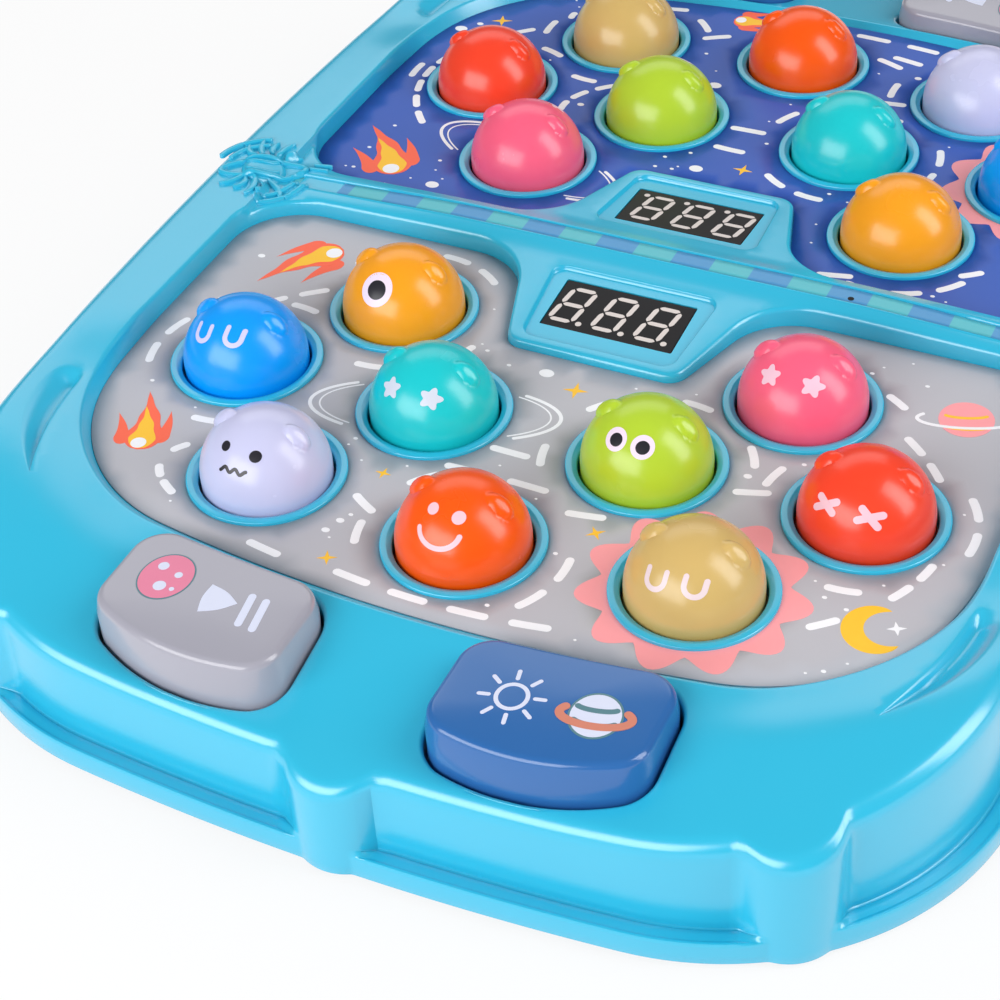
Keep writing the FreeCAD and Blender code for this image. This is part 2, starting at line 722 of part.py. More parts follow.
def make_top_shell():
    body = outer_block().cut(middle_box()).fuse(bar_block(0))
    rim_hollow = prism(rim_outline(WALL)[0], SHELL_BOTTOM - SPARE, RIM_TOP - WALL)
    body = body.cut([cavity(), rim_hollow])
    bosses, bores = shell_bosses()
    body = body.fuse(button_skirts() + display_bosses() + bosses)
    body = body.cut(both_halves(panel_tool()) + bores)

    # Collars with their guide sleeves
    places = [(s * x, s * y) for x, y in MOLE_PLACES.values() for s in (1, -1)]
    body = body.fuse([collar(x, y) for x, y in places])
    body = body.cut([Part.makeCylinder(HOLE_RADIUS, TOOL_REACH, V(x, y, SLEEVE_BOTTOM - SPARE))
                     for x, y in places])

    # Button holes, grips, display windows with their dishes, and the channel of the strip
    hole = button_prism(0, BUTTON_SKIRT_BOTTOM - SPARE, TOOL_REACH)
    grip = prism(grip_outline(), FLOOR_BOTTOM, TOOL_REACH).common(above_casing(GRIP_DEPTH))
    window = placed(centred_box(DISPLAY_LENGTH + 2 * DISPLAY_GAP, DISPLAY_WIDTH + 2 * DISPLAY_GAP,
                                -LOBE_REACH, LOBE_REACH), display_frame())
    dish = placed(rounded_box(DISH_LENGTH, DISH_WIDTH, 0, LOBE_REACH, DISH_CORNER), display_frame())
    channel = centred_box(STRIP_CELL * STRIP_CELLS + 2 * SHEET_GAP, STRIP_WIDTH + 2 * SHEET_GAP,
                          strip_bottom(), TOOL_REACH)
    body = body.cut(all_four(hole) + all_four(grip) + both_halves(window) + both_halves(dish) + [channel])
    for piece in both_halves(ornament()):
        body = body.fuse(piece)
    return body.removeSplitter()


def rounded_box(length, width, bottom, top, radius):
    box = centred_box(length, width, bottom, top)
    return box.makeFillet(radius, uprights(box))


def strip_bottom():
    return PANEL_HEIGHT + BAR_TOP_RISE - STRIP_THICK


def make_strip():
    return Part.makeBox(STRIP_CELL * STRIP_CELLS, STRIP_WIDTH, STRIP_THICK,
                        V(-STRIP_CELL * STRIP_CELLS / 2, -STRIP_WIDTH / 2, strip_bottom()))


def make_panel_sheet():
    """The near sheet lies on the floor, inside the slanted foot, round the collars."""
    sheet = prism(panel_outline(-PANEL_SLANT - SHEET_GAP), SHEET_BOTTOM, PANEL_HEIGHT)
    holes = [Part.makeCylinder(COLLAR_OUTER + SHEET_GAP, SHEET + 2 * SPARE, V(x, y, SHEET_BOTTOM - SPARE))
             for x, y in MOLE_PLACES.values()]
    return sheet.cut(holes)


def make_mole():
    """One mole at x = y = 0: hollow ball on a skirt with a flange, a hub on spokes and a stem."""
    centre = V(0, 0, MOLE_CENTRE)
    low = FLANGE_BOTTOM
    outer = Part.makeSphere(MOLE_RADIUS, centre)
    skirt = Part.makeCylinder(MOLE_RADIUS, MOLE_CENTRE - low, V(0, 0, low))
    flange = Part.makeCylinder(MOLE_RADIUS + FLANGE_PROUD, FLANGE_THICK, V(0, 0, low))
    span = 4 * MOLE_RADIUS
    below = Part.makeBox(span, span, span, V(-span / 2, -span / 2, MOLE_CENTRE - span))
    body = outer.cut(below).fuse([skirt, flange])
    ears = []
    reach = MOLE_RADIUS + EAR_PROUD - EAR_RADIUS
    for side in (-1, 1):
        lean = math.radians(EAR_ANGLE)
        ears.append(Part.makeSphere(EAR_RADIUS, V(side * reach * math.cos(lean), 0,
                                                  MOLE_CENTRE + reach * math.sin(lean))))
    body = body.fuse(ears)
    inner_radius = MOLE_RADIUS - MOLE_WALL
    hollow = Part.makeSphere(inner_radius, centre).cut(below)
    hollow = hollow.fuse(Part.makeCylinder(inner_radius, MOLE_CENTRE - low + SPARE, V(0, 0, low - SPARE)))
    body = body.cut(hollow)
    web = [Part.makeCylinder(HUB_RADIUS, FLANGE_THICK, V(0, 0, low)),
           Part.makeCylinder(STEM_RADIUS, FLANGE_TOP - STEM_BOTTOM, V(0, 0, STEM_BOTTOM))]
    for k in range(SPOKES):
        spoke = Part.makeBox(inner_radius + MOLE_WALL / 2, SPOKE_WIDTH, FLANGE_THICK,
                             V(0, -SPOKE_WIDTH / 2, low))
        spoke.rotate(V(0, 0, 0), UP, 45 + 360 * k / SPOKES)
        web.append(spoke)
    return body.fuse(web).removeSplitter()


def coil(bottom, top, radius, wire_radius, turns):
    """A round-wire spring as quarter-turn arcs on a helix between flat heights."""
    low, high = bottom + wire_radius, top - wire_radius
    steps = 4 * turns

    def point(k):
        angle = math.pi / 2 * k
        return V(radius * math.cos(angle), radius * math.sin(angle), low + (high - low) * k / steps)

    edges = [Part.Arc(point(k), point(k + 0.5), point(k + 1)).toShape() for k in range(steps)]
    path = Part.Wire(edges)
    section = Part.Wire([Part.Circle(point(0), V(0, 1, 0), wire_radius).toShape()])
    return path.makePipeShell([section], True, False)


def button_flange_bottom():
    return BUTTON_SKIRT_BOTTOM - MOTION_GAP - BUTTON_FLANGE


def make_button():
    """The right near button: a hollow cap with a tilted top, a flange, two spring seats and a
    stem over the switch."""
    low = button_flange_bottom()
    top = PANEL_HEIGHT + BUTTON_TOP_RISE
    body = button_prism(BUTTON_GAP, low, TOOL_REACH)
    over = Part.makeBox(2 * HALF_WIDTH, 2 * HALF_LENGTH, TOOL_REACH, V(-HALF_WIDTH, -HALF_LENGTH, 0))
    over.rotate(V(0, 0, 0), V(1, 0, 0), BUTTON_TILT)
    over.translate(V(0, -BUTTON_BACK, top))
    body = body.cut(over)
    body = body.makeFillet(BUTTON_EDGE, [e for e in body.Edges if e.BoundBox.ZMin > low + BUTTON_FLANGE])
    flange = button_prism(BUTTON_GAP - BUTTON_FLANGE_PROUD, low, low + BUTTON_FLANGE)
    roof = top - math.tan(math.radians(BUTTON_TILT)) * (BUTTON_FRONT - BUTTON_BACK) - BUTTON_WALL
    hollow = button_prism(BUTTON_GAP + BUTTON_WALL, low - SPARE, roof)
    x, y = button_centre()
    foot = button_stem_bottom()
    inner = [Part.makeCylinder(STEM_RADIUS, roof - foot + RIB_ROOT, V(x, y, foot))]
    for side in (-1, 1):
        inner.append(tube(x + side * BUTTON_STEM_SPACING, y, low, roof + RIB_ROOT,
                          SPRING_RADIUS + SPRING_SEAT_HALF, SPRING_RADIUS - SPRING_SEAT_HALF))
    return body.fuse(flange).cut(hollow).fuse(inner).removeSplitter()


def button_stem_bottom():
    return BOARD_TOP + SWITCH_HEIGHT + BUTTON_TRAVEL + SWITCH_SLACK


def make_button_springs():
    x, y = button_centre()
    top = button_flange_bottom()
    springs = []
    for side in (-1, 1):
        spring = coil(BOARD_TOP, top, SPRING_RADIUS, SPRING_WIRE / 2, SPRING_TURNS - 1)
        spring.translate(V(x + side * BUTTON_STEM_SPACING, y, 0))
        springs.append(spring)
    return group(springs)


def make_displays():
    block = centred_box(DISPLAY_LENGTH, DISPLAY_WIDTH, -DISPLAY_THICK, 0)
    body = placed(block, display_frame(0, 0, -DISPLAY_BACK))
    return group(both_halves(body))


def board_outline():
    """Near main board: it keeps clear of the battery bay, the speaker and the corner posts."""
    right = [(BOARD_SIDE, -BOARD_START), (BOARD_SIDE, -BOARD_WIDE_END),
             (BOARD_SHOULDER, -BOARD_NARROW_START), (BOARD_END_HALF, -BOARD_END)]
    return right + [(-x, y) for x, y in reversed(right)]


def make_boards():
    near = prism(polygon(board_outline()), BOARD_HEIGHT, BOARD_TOP)
    near = near.cut([Part.makeCylinder(BOARD_SCREW_RADIUS + BOARD_SHANK_GAP, BOARD_THICK + 2 * SPARE,
                                       V(x, y, BOARD_HEIGHT - SPARE)) for x, y in board_post_places()])
    small = placed(centred_box(DISPLAY_BOARD_LENGTH, DISPLAY_BOARD_WIDTH, -BOARD_THICK, 0),
                   display_frame(0, 0, -DISPLAY_BACK - DISPLAY_THICK))
    return group(both_halves(near) + both_halves(small))


def switch_places():
    x, y = button_centre()
    return list(MOLE_PLACES.values()) + [(x, y), (-x, y)]


def make_switches():
    solids = []
    for x, y in switch_places():
        body = Part.makeBox(SWITCH_SIDE, SWITCH_SIDE, SWITCH_THICK,
                            V(x - SWITCH_SIDE / 2, y - SWITCH_SIDE / 2, BOARD_TOP))
        tip = Part.makeCylinder(SWITCH_TIP_RADIUS, SWITCH_HEIGHT, V(x, y, BOARD_TOP))
        solids += both_halves(body.fuse(tip).removeSplitter())
    return group(solids)


def make_leds():
    solids = []
    for x, y in MOLE_PLACES.values():
        stem = Part.makeCylinder(LED_RADIUS, LED_HEIGHT - LED_RADIUS, V(x + LED_OFFSET, y, BOARD_TOP))
        dome = Part.makeSphere(LED_RADIUS, V(x + LED_OFFSET, y, BOARD_TOP + LED_HEIGHT - LED_RADIUS))
        solids += both_halves(stem.fuse(dome).removeSplitter())
    return group(solids)


def make_speaker():
    x, y = SPEAKER_PLACE
    base = V(x, y, COVER_TOP)
    frame = Part.makeCylinder(SPEAKER_RADIUS, SPEAKER_HEIGHT / 2, base)
    magnet = Part.makeCylinder(SPEAKER_RADIUS / 2, SPEAKER_HEIGHT, base)
    return frame.fuse(magnet).removeSplitter()


def bay_size():
    """Inner length and width of the battery bay."""
    length = CELL_LENGTH + 2 * BAY_END_ROOM
    width = CELL_COUNT * 2 * CELL_RADIUS + (CELL_COUNT + 1) * CELL_GAP
    return length, width


def bay_top():
    return COVER_BOTTOM + DOOR_THICK + CELL_GAP + 2 * CELL_RADIUS + CELL_GAP


def door_screw_places():
    length = bay_size()[0]
    reach = length / 2 + BAY_WALL + DOOR_TAB / 2
    return [(-reach, 0.0), (reach, 0.0)]


def cover_blank():
    """Plate that fills the shell's rim, with round lugs inside the posts."""
    plate = prism(rim_outline(WALL + COVER_GAP)[0], COVER_BOTTOM, COVER_TOP)
    return plate.fuse([Part.makeCylinder(POST_RADIUS - WALL - COVER_GAP, COVER_THICK, V(x, y, COVER_BOTTOM))
                       for x, y in post_places()])


def battery_bay():
    """Box over the cells, open below, with two ribs that fit round the cells' upper halves."""
    length, width = bay_size()
    outer = centred_box(length + 2 * BAY_WALL, width + 2 * BAY_WALL, COVER_BOTTOM, bay_top() + BAY_WALL)
    inner = centred_box(length, width, COVER_BOTTOM - SPARE, bay_top())
    low, ribs = cell_height(), []
    for x in (-BAY_RIB_PLACE, BAY_RIB_PLACE):
        rib = Part.makeBox(BAY_RIB, width, bay_top() - low, V(x - BAY_RIB / 2, -width / 2, low))
        cells = [Part.makeCylinder(CELL_RADIUS, 2 * BAY_RIB, V(x - BAY_RIB, y, low), V(1, 0, 0))
                 for y in cell_rows()]
        ribs.append(rib.cut(cells))
    return outer, inner, ribs


def make_bottom_cover():
    outer, inner, ribs = battery_bay()
    solids = [outer, door_blank(DOOR_LIP + BAY_WALL, COVER_BOTTOM, COVER_BOTTOM + DOOR_THICK + BAY_WALL)]
    for x, y in boss_places():
        solids.append(Part.makeCylinder(WELL_RADIUS, SCREW_WELL + WALL, V(x, y, COVER_BOTTOM)))
    for x, y in door_screw_places():
        solids.append(Part.makeCylinder(WELL_RADIUS, SCREW_LENGTH, V(x, y, COVER_BOTTOM)))
    for x, y in board_post_places():
        solids += both_halves(Part.makeCylinder(BOARD_POST_RADIUS, BOARD_HEIGHT - COVER_BOTTOM,
                                                V(x, y, COVER_BOTTOM)))
    sx, sy = SPEAKER_PLACE
    seat = SPEAKER_RADIUS + COVER_GAP
    solids.append(tube(sx, sy, COVER_BOTTOM, COVER_TOP + SPEAKER_HEIGHT / 2, seat + SPEAKER_RING, seat))
    body = cover_blank().fuse(solids)

    below = COVER_BOTTOM - SPARE
    cuts = [inner, door_blank(DOOR_LIP, below, COVER_BOTTOM + DOOR_THICK)]
    for x, y in boss_places():
        cuts.append(Part.makeCylinder(SCREW_HEAD_RADIUS + HEAD_GAP, SCREW_WELL + SPARE, V(x, y, below)))
        cuts.append(Part.makeCylinder(SCREW_RADIUS + SHANK_GAP, SCREW_WELL + WALL + 2 * SPARE,
                                      V(x, y, below)))
    for x, y in door_screw_places():
        cuts.append(Part.makeCylinder(SCREW_RADIUS + SHANK_GAP, DOOR_SCREW_LENGTH + 3 * SPARE,
                                      V(x, y, below)))
    for x, y in board_post_places():
        cuts += both_halves(Part.makeCylinder(BOARD_SCREW_RADIUS + THREAD_GAP, BOARD_SCREW_LENGTH,
                                              V(x, y, BOARD_TOP - BOARD_SCREW_LENGTH)))
    for x, y in speaker_holes():
        cuts.append(Part.makeCylinder(SPEAKER_HOLE, COVER_THICK + 2 * SPARE, V(x, y, below)))
    for x, y in foot_places():
        cuts.append(Part.makeCylinder(FOOT_RADIUS + FOOT_GAP, FOOT_RECESS + SPARE, V(x, y, below)))
    return body.cut(cuts).fuse(ribs).removeSplitter()


def speaker_holes():
    """Centre hole and rings of six and twelve."""
    sx, sy = SPEAKER_PLACE
    places = [(sx, sy)]
    for ring in range(1, SPEAKER_RINGS + 1):
        for k in range(6 * ring):
            angle = 2 * math.pi * k / (6 * ring)
            reach = SPEAKER_RING_STEP * ring
            places.append((sx + reach * math.cos(angle), sy + reach * math.sin(angle)))
    return places


def door_blank(grow, bottom, top):
    """Plate over the bay with an ear at each end for a screw."""
    length, width = bay_size()
    plate = centred_box(length + 2 * grow, width + 2 * grow, bottom, top)
    ear_reach = length / 2 + BAY_WALL + DOOR_TAB / 2
    ears = [Part.makeCylinder(DOOR_TAB / 2 + grow, top - bottom, V(x, y, bottom))
            for x, y in door_screw_places()]
    bridge = centred_box(2 * ear_reach, DOOR_TAB + 2 * grow, bottom, top)
    return plate.fuse(ears + [bridge]).removeSplitter()


def make_battery_door():
    plate = door_blank(DOOR_LIP - DOOR_GAP, COVER_BOTTOM, COVER_BOTTOM + DOOR_THICK - DOOR_FACE_GAP)
    cuts = []
    for x, y in door_screw_places():
        cuts.append(Part.makeCylinder(SCREW_RADIUS + THREAD_GAP, DOOR_THICK + 2 * SPARE,
                                      V(x, y, COVER_BOTTOM - SPARE)))
        cuts.append(Part.makeCylinder(SCREW_HEAD_RADIUS + DOOR_HEAD_GAP, DOOR_SCREW_HEAD,
                                      V(x, y, COVER_BOTTOM)))
    return plate.cut(cuts)


def screw(x, y, seat, side, radius, length, head_radius, head):
    """A pan-head screw with a cross recess. Its head lies against the seat on the given side,
    -1 below it or 1 above it, and the shank goes the other way."""
    direction = V(0, 0, side)
    body = Part.makeCylinder(head_radius, head, V(x, y, seat), direction)
    shank = Part.makeCylinder(radius, length, V(x, y, seat), V(0, 0, -side))
    body = body.fuse(shank).removeSplitter()
    arm, slot = CROSS_LENGTH * head_radius, CROSS_WIDTH * head_radius
    level = min(seat + side * head, seat + side * head / 2)
    bars = [Part.makeBox(arm, slot, head / 2, V(x - arm / 2, y - slot / 2, level)),
            Part.makeBox(slot, arm, head / 2, V(x - slot / 2, y - arm / 2, level))]
    return body.cut(bars)


def make_screws():
    """Case screws from below, and the small screws that hold the boards from above."""
    screws = [screw(x, y, COVER_BOTTOM + SCREW_WELL, -1, SCREW_RADIUS, SCREW_LENGTH, SCREW_HEAD_RADIUS,
                    SCREW_HEAD) for x, y in boss_places()]
    for x, y in board_post_places():
        screws += both_halves(screw(x, y, BOARD_TOP, 1, BOARD_SCREW_RADIUS, BOARD_SCREW_LENGTH,
                                    BOARD_SCREW_HEAD_RADIUS, BOARD_SCREW_HEAD))
    return group(screws)


def make_door_screws():
    return group([screw(x, y, COVER_BOTTOM + DOOR_SCREW_HEAD, -1, SCREW_RADIUS, DOOR_SCREW_LENGTH,
                        SCREW_HEAD_RADIUS, DOOR_SCREW_HEAD - DOOR_HEAD_DROP)
                  for x, y in door_screw_places()])


def cell_rows():
    pitch = 2 * CELL_RADIUS + CELL_GAP
    return [(k - (CELL_COUNT - 1) / 2) * pitch for k in range(CELL_COUNT)]


def cell_height():
    return COVER_BOTTOM + DOOR_THICK + CELL_GAP + CELL_RADIUS


def make_batteries():
    """Cylindrical cells with a raised positive end, turned alternately."""
    cells = []
    for k, y in enumerate(cell_rows()):
        side = 1 if k % 2 == 0 else -1
        start = V(-side * CELL_LENGTH / 2, y, cell_height())
        can = Part.makeCylinder(CELL_RADIUS, CELL_LENGTH - CELL_NUB, start, V(side, 0, 0))
        nub = Part.makeCylinder(CELL_NUB_RADIUS, CELL_LENGTH, start, V(side, 0, 0))
        cells.append(can.fuse(nub).removeSplitter())
    return group(cells)


def make_contacts():
    """A plate against each end wall for each cell: flat for the plus end, with a tapered
    spring for the minus end."""
    length = bay_size()[0]
    half = CELL_RADIUS - CONTACT_INSET
    plates = []
    for k, y in enumerate(cell_rows()):
        side = 1 if k % 2 == 0 else -1
        for end in (-1, 1):
            wall = end * length / 2
            x = wall if end < 0 else wall - CONTACT_THICK
            plate = Part.makeBox(CONTACT_THICK, 2 * half, 2 * half, V(x, y - half, cell_height() - half))
            room = BAY_END_ROOM - CONTACT_THICK
            inner = V(wall - end * CONTACT_THICK, y, cell_height())
            if end == side:
                bump = Part.makeCylinder(CONTACT_BUMP_RADIUS, room, inner, V(-end, 0, 0))
            else:
                bump = Part.makeCone(CONTACT_CONE_ROOT, CONTACT_CONE_TIP, room, inner, V(-end, 0, 0))
            plates.append(plate.fuse(bump).removeSplitter())
    return group(plates)


def foot_places():
    x, y = HALF_WIDTH - FOOT_INSET_X, HALF_LENGTH - FOOT_INSET_Y
    return [(x, y), (-x, y), (-x, -y), (x, -y)]


def make_feet():
    feet = []
    for x, y in foot_places():
        foot = Part.makeCylinder(FOOT_RADIUS, COVER_BOTTOM + FOOT_RECESS, V(x, y, 0))
        low = [e for e in foot.Edges if e.BoundBox.ZMax < FOOT_RECESS]
        feet.append(foot.makeFillet(FOOT_ROUND, low))
    return group(feet)


def check(name, shape):
    """Every node is made of closed, valid solids."""
    solids = shape.Solids
    good = bool(solids) and all(s.isValid() and s.isClosed() for s in solids)
    print(name, "solids", len(solids), "volume", round(shape.Volume, 1), "ok" if good else "NOT VALID")


def save(name, shape):
    check(name, shape)
    shape.exportStep("parts/" + name + ".step")


def moved_to(shape, x, y):
    copy = shape.copy()
    copy.translate(V(x, y, 0))
    return copy


def main():
    os.makedirs("parts", exist_ok=True)
    save("top_shell", make_top_shell())
    save("bottom_cover", make_bottom_cover())
    sheet = make_panel_sheet()
    save("near_panel_sheet", sheet)
    save("far_panel_sheet", half_turn(sheet))
    save("centre_strip", make_strip())

    mole = make_mole()
    spring = coil(BOARD_TOP, FLANGE_BOTTOM, SPRING_RADIUS, SPRING_WIRE / 2, SPRING_TURNS)
    for colour, (x, y) in MOLE_PLACES.items():
        near, near_spring = moved_to(mole, x, y), moved_to(spring, x, y)
        save("near_mole_" + colour, near)
        save("near_spring_" + colour, near_spring)
        save("far_mole_" + colour, half_turn(near))
        save("far_spring_" + colour, half_turn(near_spring))

    right = make_button()
    springs = make_button_springs()
    buttons = {"mode": (right, springs), "start": (mirrored_x(right), mirrored_x(springs))}
    for name, (button, coils) in buttons.items():
        save("near_" + name + "_button", button)
        save("near_" + name + "_springs", coils)
        save("far_" + name + "_button", half_turn(button))
        save("far_" + name + "_springs", half_turn(coils))

    save("displays", make_displays())
    save("circuit_boards", make_boards())
    save("tact_switches", make_switches())
    save("leds", make_leds())
    save("speaker", make_speaker())
    save("battery_door", make_battery_door())
    save("door_screws", make_door_screws())
    save("batteries", make_batteries())
    save("battery_contacts", make_contacts())
    save("screws", make_screws())
    save("rubber_feet", make_feet())


main()
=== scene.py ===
"""A table-top toy for two players: eighteen sprung moles in two panels, four end buttons, two displays.

Sizes in the code are millimetres in the frame's own axes, and each mesh is scaled to metres at the end.
The near player sits at -Y, and the far half is the near half turned by half a turn about Z."""

from math import acos, atan2, cos, hypot, pi, radians, sin, sqrt, tan

import bmesh
import bpy
import numpy as np
from mathutils import Matrix, Vector
from mathutils.geometry import delaunay_2d_cdt


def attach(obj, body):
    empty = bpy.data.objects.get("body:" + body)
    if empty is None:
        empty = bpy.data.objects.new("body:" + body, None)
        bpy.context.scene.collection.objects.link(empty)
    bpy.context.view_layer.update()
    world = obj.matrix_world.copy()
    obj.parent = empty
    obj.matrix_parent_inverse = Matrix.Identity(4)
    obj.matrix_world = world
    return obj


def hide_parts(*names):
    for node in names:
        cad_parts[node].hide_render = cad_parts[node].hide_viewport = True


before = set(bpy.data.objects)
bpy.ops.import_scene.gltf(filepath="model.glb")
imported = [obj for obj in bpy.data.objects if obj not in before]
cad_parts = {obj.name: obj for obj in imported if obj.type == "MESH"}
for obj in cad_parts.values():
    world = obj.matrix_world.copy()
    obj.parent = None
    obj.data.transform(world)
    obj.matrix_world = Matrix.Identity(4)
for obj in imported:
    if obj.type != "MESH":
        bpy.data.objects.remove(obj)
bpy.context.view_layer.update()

bl_info = {
    "name": "Whack-a-mole toy",
    "version": (1, 0, 0),
    "blender": (4, 5, 0),
    "location": "View3D > Sidebar > Toy",
    "description": "Builds the casing, moles, buttons, displays and prints of a table-top whack-a-mole toy",
    "category": "Object",
}

# Outline of the rim and its posts
HALF_LENGTH, HALF_WIDTH = 195.7, 143.5
END_RADIUS, CORNER_RADIUS, SIDE_RADIUS = 700.0, 76.0, 1600.0
POST_RADIUS, POST_PROUD, POST_ANGLE = 13.0, 1.6, radians(-54.6)
RIM_BOTTOM, LEDGE, WALL_INSET, WALL = 1.5, 7.7, 5.2, 2.5
# Bead and groove of the ledge: each place from the rim's edge, and its rise in beads
LEDGE_PROFILE = ((0.3, 0.75), (0.6, 1.0), (0.95, 0.75), (1.3, 0.1), (1.6, 0), (3.0, 0), (4.1, 0),
                 (4.4, -0.5), (4.65, -1.0), (4.9, -1.0), (5.15, -0.6))

# Levels above the table, and rises above the panels
PANEL, PANEL_FLOOR = 37.5, 37.0
FRAME_RISE, LIP_DIP = 6.6, 2.6
APRON_RISE, APRON_START, APRON_SLOPE = 2.0, 147.0, 0.21
BAR_TOP, BAR_EDGE = 6.8, 5.6
BAR_HALF, BAR_END, LOBE_SLOPE = 8.0, 117.0, 5.1
BAR_LEVEL, BAR_SLOPE, BAR_BEND = 60.0, 0.05, 4.0
LOBE_FALL = tan(radians(LOBE_SLOPE))
FRAME_BLEND, CHANNEL_HALF, CORNER_Y, DIP_START, DIP_RUN, DIP_REACH = 1.6, 4.3, 85.0, 72, 30, 20
# How far the foot of a panel's wall stands in, how much more at the near end, and where that begins
FOOT_INSET, FOOT_MORE, FOOT_START, FOOT_RUN = 0.2, 1.6, 64, 36
# The ridge round the strip: distances from the strip's middle line, and rises
RIDGE_AT, RIDGE_RISE = (3.0, 3.1, 3.3, 3.65, 4.0, 4.3), (-0.3, 0.2, 0.35, 0.35, 0.05, 0)

# Panel opening with the display lobe in its bar side
PANEL_NEAR, PANEL_HALF, PANEL_END_RADIUS, PANEL_CORNER = 149.0, 118.6, 420.0, 56.0
LOBE_END, LOBE_HALF, LOBE_LEAN = 44.6, 24.2, radians(17)
LOBE_ROOT, LOBE_TIP, BAR_CORNER = 20.0, 5.5, 20.0
HOLE_EDGE, DISH_EDGE, DISH_DEPTH = 1.2, 0.45, 1.2

MOLES = {
    "yellow": (-57.0, -39.9), "pink": (57.0, -39.9), "blue": (-85.7, -75.7),
    "turquoise": (-29.5, -76.6), "green": (29.5, -76.6), "red": (85.7, -75.7),
    "lilac": (-57.2, -114.7), "orange": (0.0, -119.6), "beige": (57.2, -114.7),
}
MOLE_CENTRE, EAR_TILT = PANEL + 1.7, radians(51)
EAR_HALF, DIMPLE_HALF, DIMPLE_DEPTH = (4.1, 2.5), (2.1, 1.15), 0.45
MOLE_WALL, FLANGE_LOW, FLANGE_TOP, FLANGE_RADIUS = 1.8, 29.2, 31.2, 18.8
HUB_RADIUS, STEM_RADIUS, STEM_BOTTOM = 8.0, 2.5, 22.8
COLLAR_INNER, COLLAR_OUTER, SLEEVE_LOW = 17.3, 20.35, 33.0
# The collar's top, from its outer edge into the sleeve: each step in from the bore, and its rise
COLLAR_SLOPE = ((1.75, 0.04), (1.5, 0.05), (1.42, 0.03), (1.34, 0), (1.2, -0.06), (0.35, -0.46),
                (0.1, -0.62), (0, -0.9))

BUTTON_SIDES, BUTTON_BACK, BUTTON_FRONT = (17.4, 70.8), 149.0, 185.3
BUTTON_FRONT_CENTRE, BUTTON_FRONT_RADIUS = 38.0, 60.0
BUTTON_CORNER, BUTTON_GAP, BUTTON_LOW, BUTTON_FLANGE = 10.0, 0.8, 25.0, 27.0
BUTTON_FALL, BUTTON_DRAFT, BUTTON_WALL = tan(radians(0.9)), 0.5, 2.2
BUTTON_STEM, SPRING_SEATS, SEAT_RADII = 21.4, (-15, 15), (5.2, 7.2)
# Signs on the near buttons
MOON, TRIANGLE, PAUSE_BARS = (-55.6, -163.4), (-40.6, -165.9), ((-33.2, -161.8), (-29.4, -162.1))
SUN, GLOBE = (35.8, -168.0), (55.0, -166.4)

DISPLAY_PLACE, DISPLAY_RISE = 25.4, 2.74
DISPLAY_SIZE, DISPLAY_THICK, WINDOW_GAP = (37.6, 19.0), 7.0, 0.15
DIGIT_PITCH, DIGIT_LEAN, SEGMENT_GAP = 12.2, 0.16, 0.35
STRIP_CELL, STRIP_END, STRIP_HALF = 11.1, 113.2, 2.9
HOLE_PLACE, HOLE_RADIUS = (56.3, -1.3), 0.85
GRIP_INNER = ((119.5, -99.6), (117.0, -118.0), (110.0, -141.0))
GRIP_OUTER = ((127.0, -100.0), (127.4, -112.0), (123.7, -124.0), (117.0, -134.0), (110.0, -141.0))
GRIP_DEPTH = 2.6
ORNAMENT, PLANET_RADIUS, PLANET_RISE = (-123.0, -0.6), 6.4, 2.0

# Prints: length from one dash to the next, half a dash, the radius of its ends, the radius of a dashed
# ring round a mole, and the level of a print that no other covers
DASH_PITCH, DASH_REACH, DASH_RADIUS, RING_RADIUS, LONE_PRINT = 12.4, 3.4, 1.1, 26.5, 0.03

# Stage, in metres: the floor's reach and own glow, and the world's strength in gloss and as light
FLOOR_REACH, FLOOR_GLOW, WORLD_GLOSS, WORLD_LIGHT = 6.0, 0.84, 0.12, 0.36
# What the lamps point at, and each lamp's name, place, size, light and share of that light's power
LAMP_AIM = Vector((0, 0, 0.04))
LAMPS = (("right", (0.95, 0.08, 0.75), (0.5, 1.1), "key", 1.0),
         ("front", (-0.3, -1.0, 0.5), (1.1, 0.6), "fill", 1.0),
         ("back", (-0.55, 1.05, 0.95), (1.6, 0.7), "key", 0.52))
# The camera's lens, sensor and place, and its directions right, up and back
CAMERA_LENS, CAMERA_SENSOR, CAMERA_PLACE = 82.41, 36.0, (0.20103, -0.47792, 0.40062)
CAMERA_AXES = (Vector((0.902188, 0.428034, -0.053329)), Vector((-0.242156, 0.604916, 0.758575)),
               Vector((0.356956, -0.671463, 0.649399)))

QUARTER, TURN = pi / 2, 2 * pi


def linear(red, green, blue):
    """A colour given as 0 to 255, in Blender's linear values."""
    share = np.array([red, green, blue]) / 255
    return tuple(np.where(share < 0.04045, share / 12.92, ((share + 0.055) / 1.055) ** 2.4))


def length(name, text, size):
    return bpy.props.FloatProperty(name=name, description=text, default=size / 1000, min=0, unit="LENGTH")


def colour(name, text, *value):
    return bpy.props.FloatVectorProperty(name=name, description=text, default=linear(*value), size=3,
                                         min=0, max=1, subtype="COLOR")


def share(name, text, value):
    return bpy.props.FloatProperty(name=name, description=text, default=value, min=0, max=1,
                                   subtype="FACTOR")


def power(name, text, value):
    return bpy.props.FloatProperty(name=name, description=text, default=value, min=0, unit="POWER")


class ToyCasing(bpy.types.PropertyGroup):
    paint: colour("Casing", "Colour of the casing's glossy plastic", 42, 184, 220)
    gloss: share("Roughness", "Roughness of the casing's plastic", 0.24)
    edge: length("Top edge", "Rounding of the outer top edge", 3.5)
    lip: length("Lip edge", "Rounding of the lip round each panel", 1.3)
    bead: length("Bead", "Height of the thin line on the rim's ledge", 0.4)
    collar: length("Collar", "Height of the collars above the panels", 1.0)


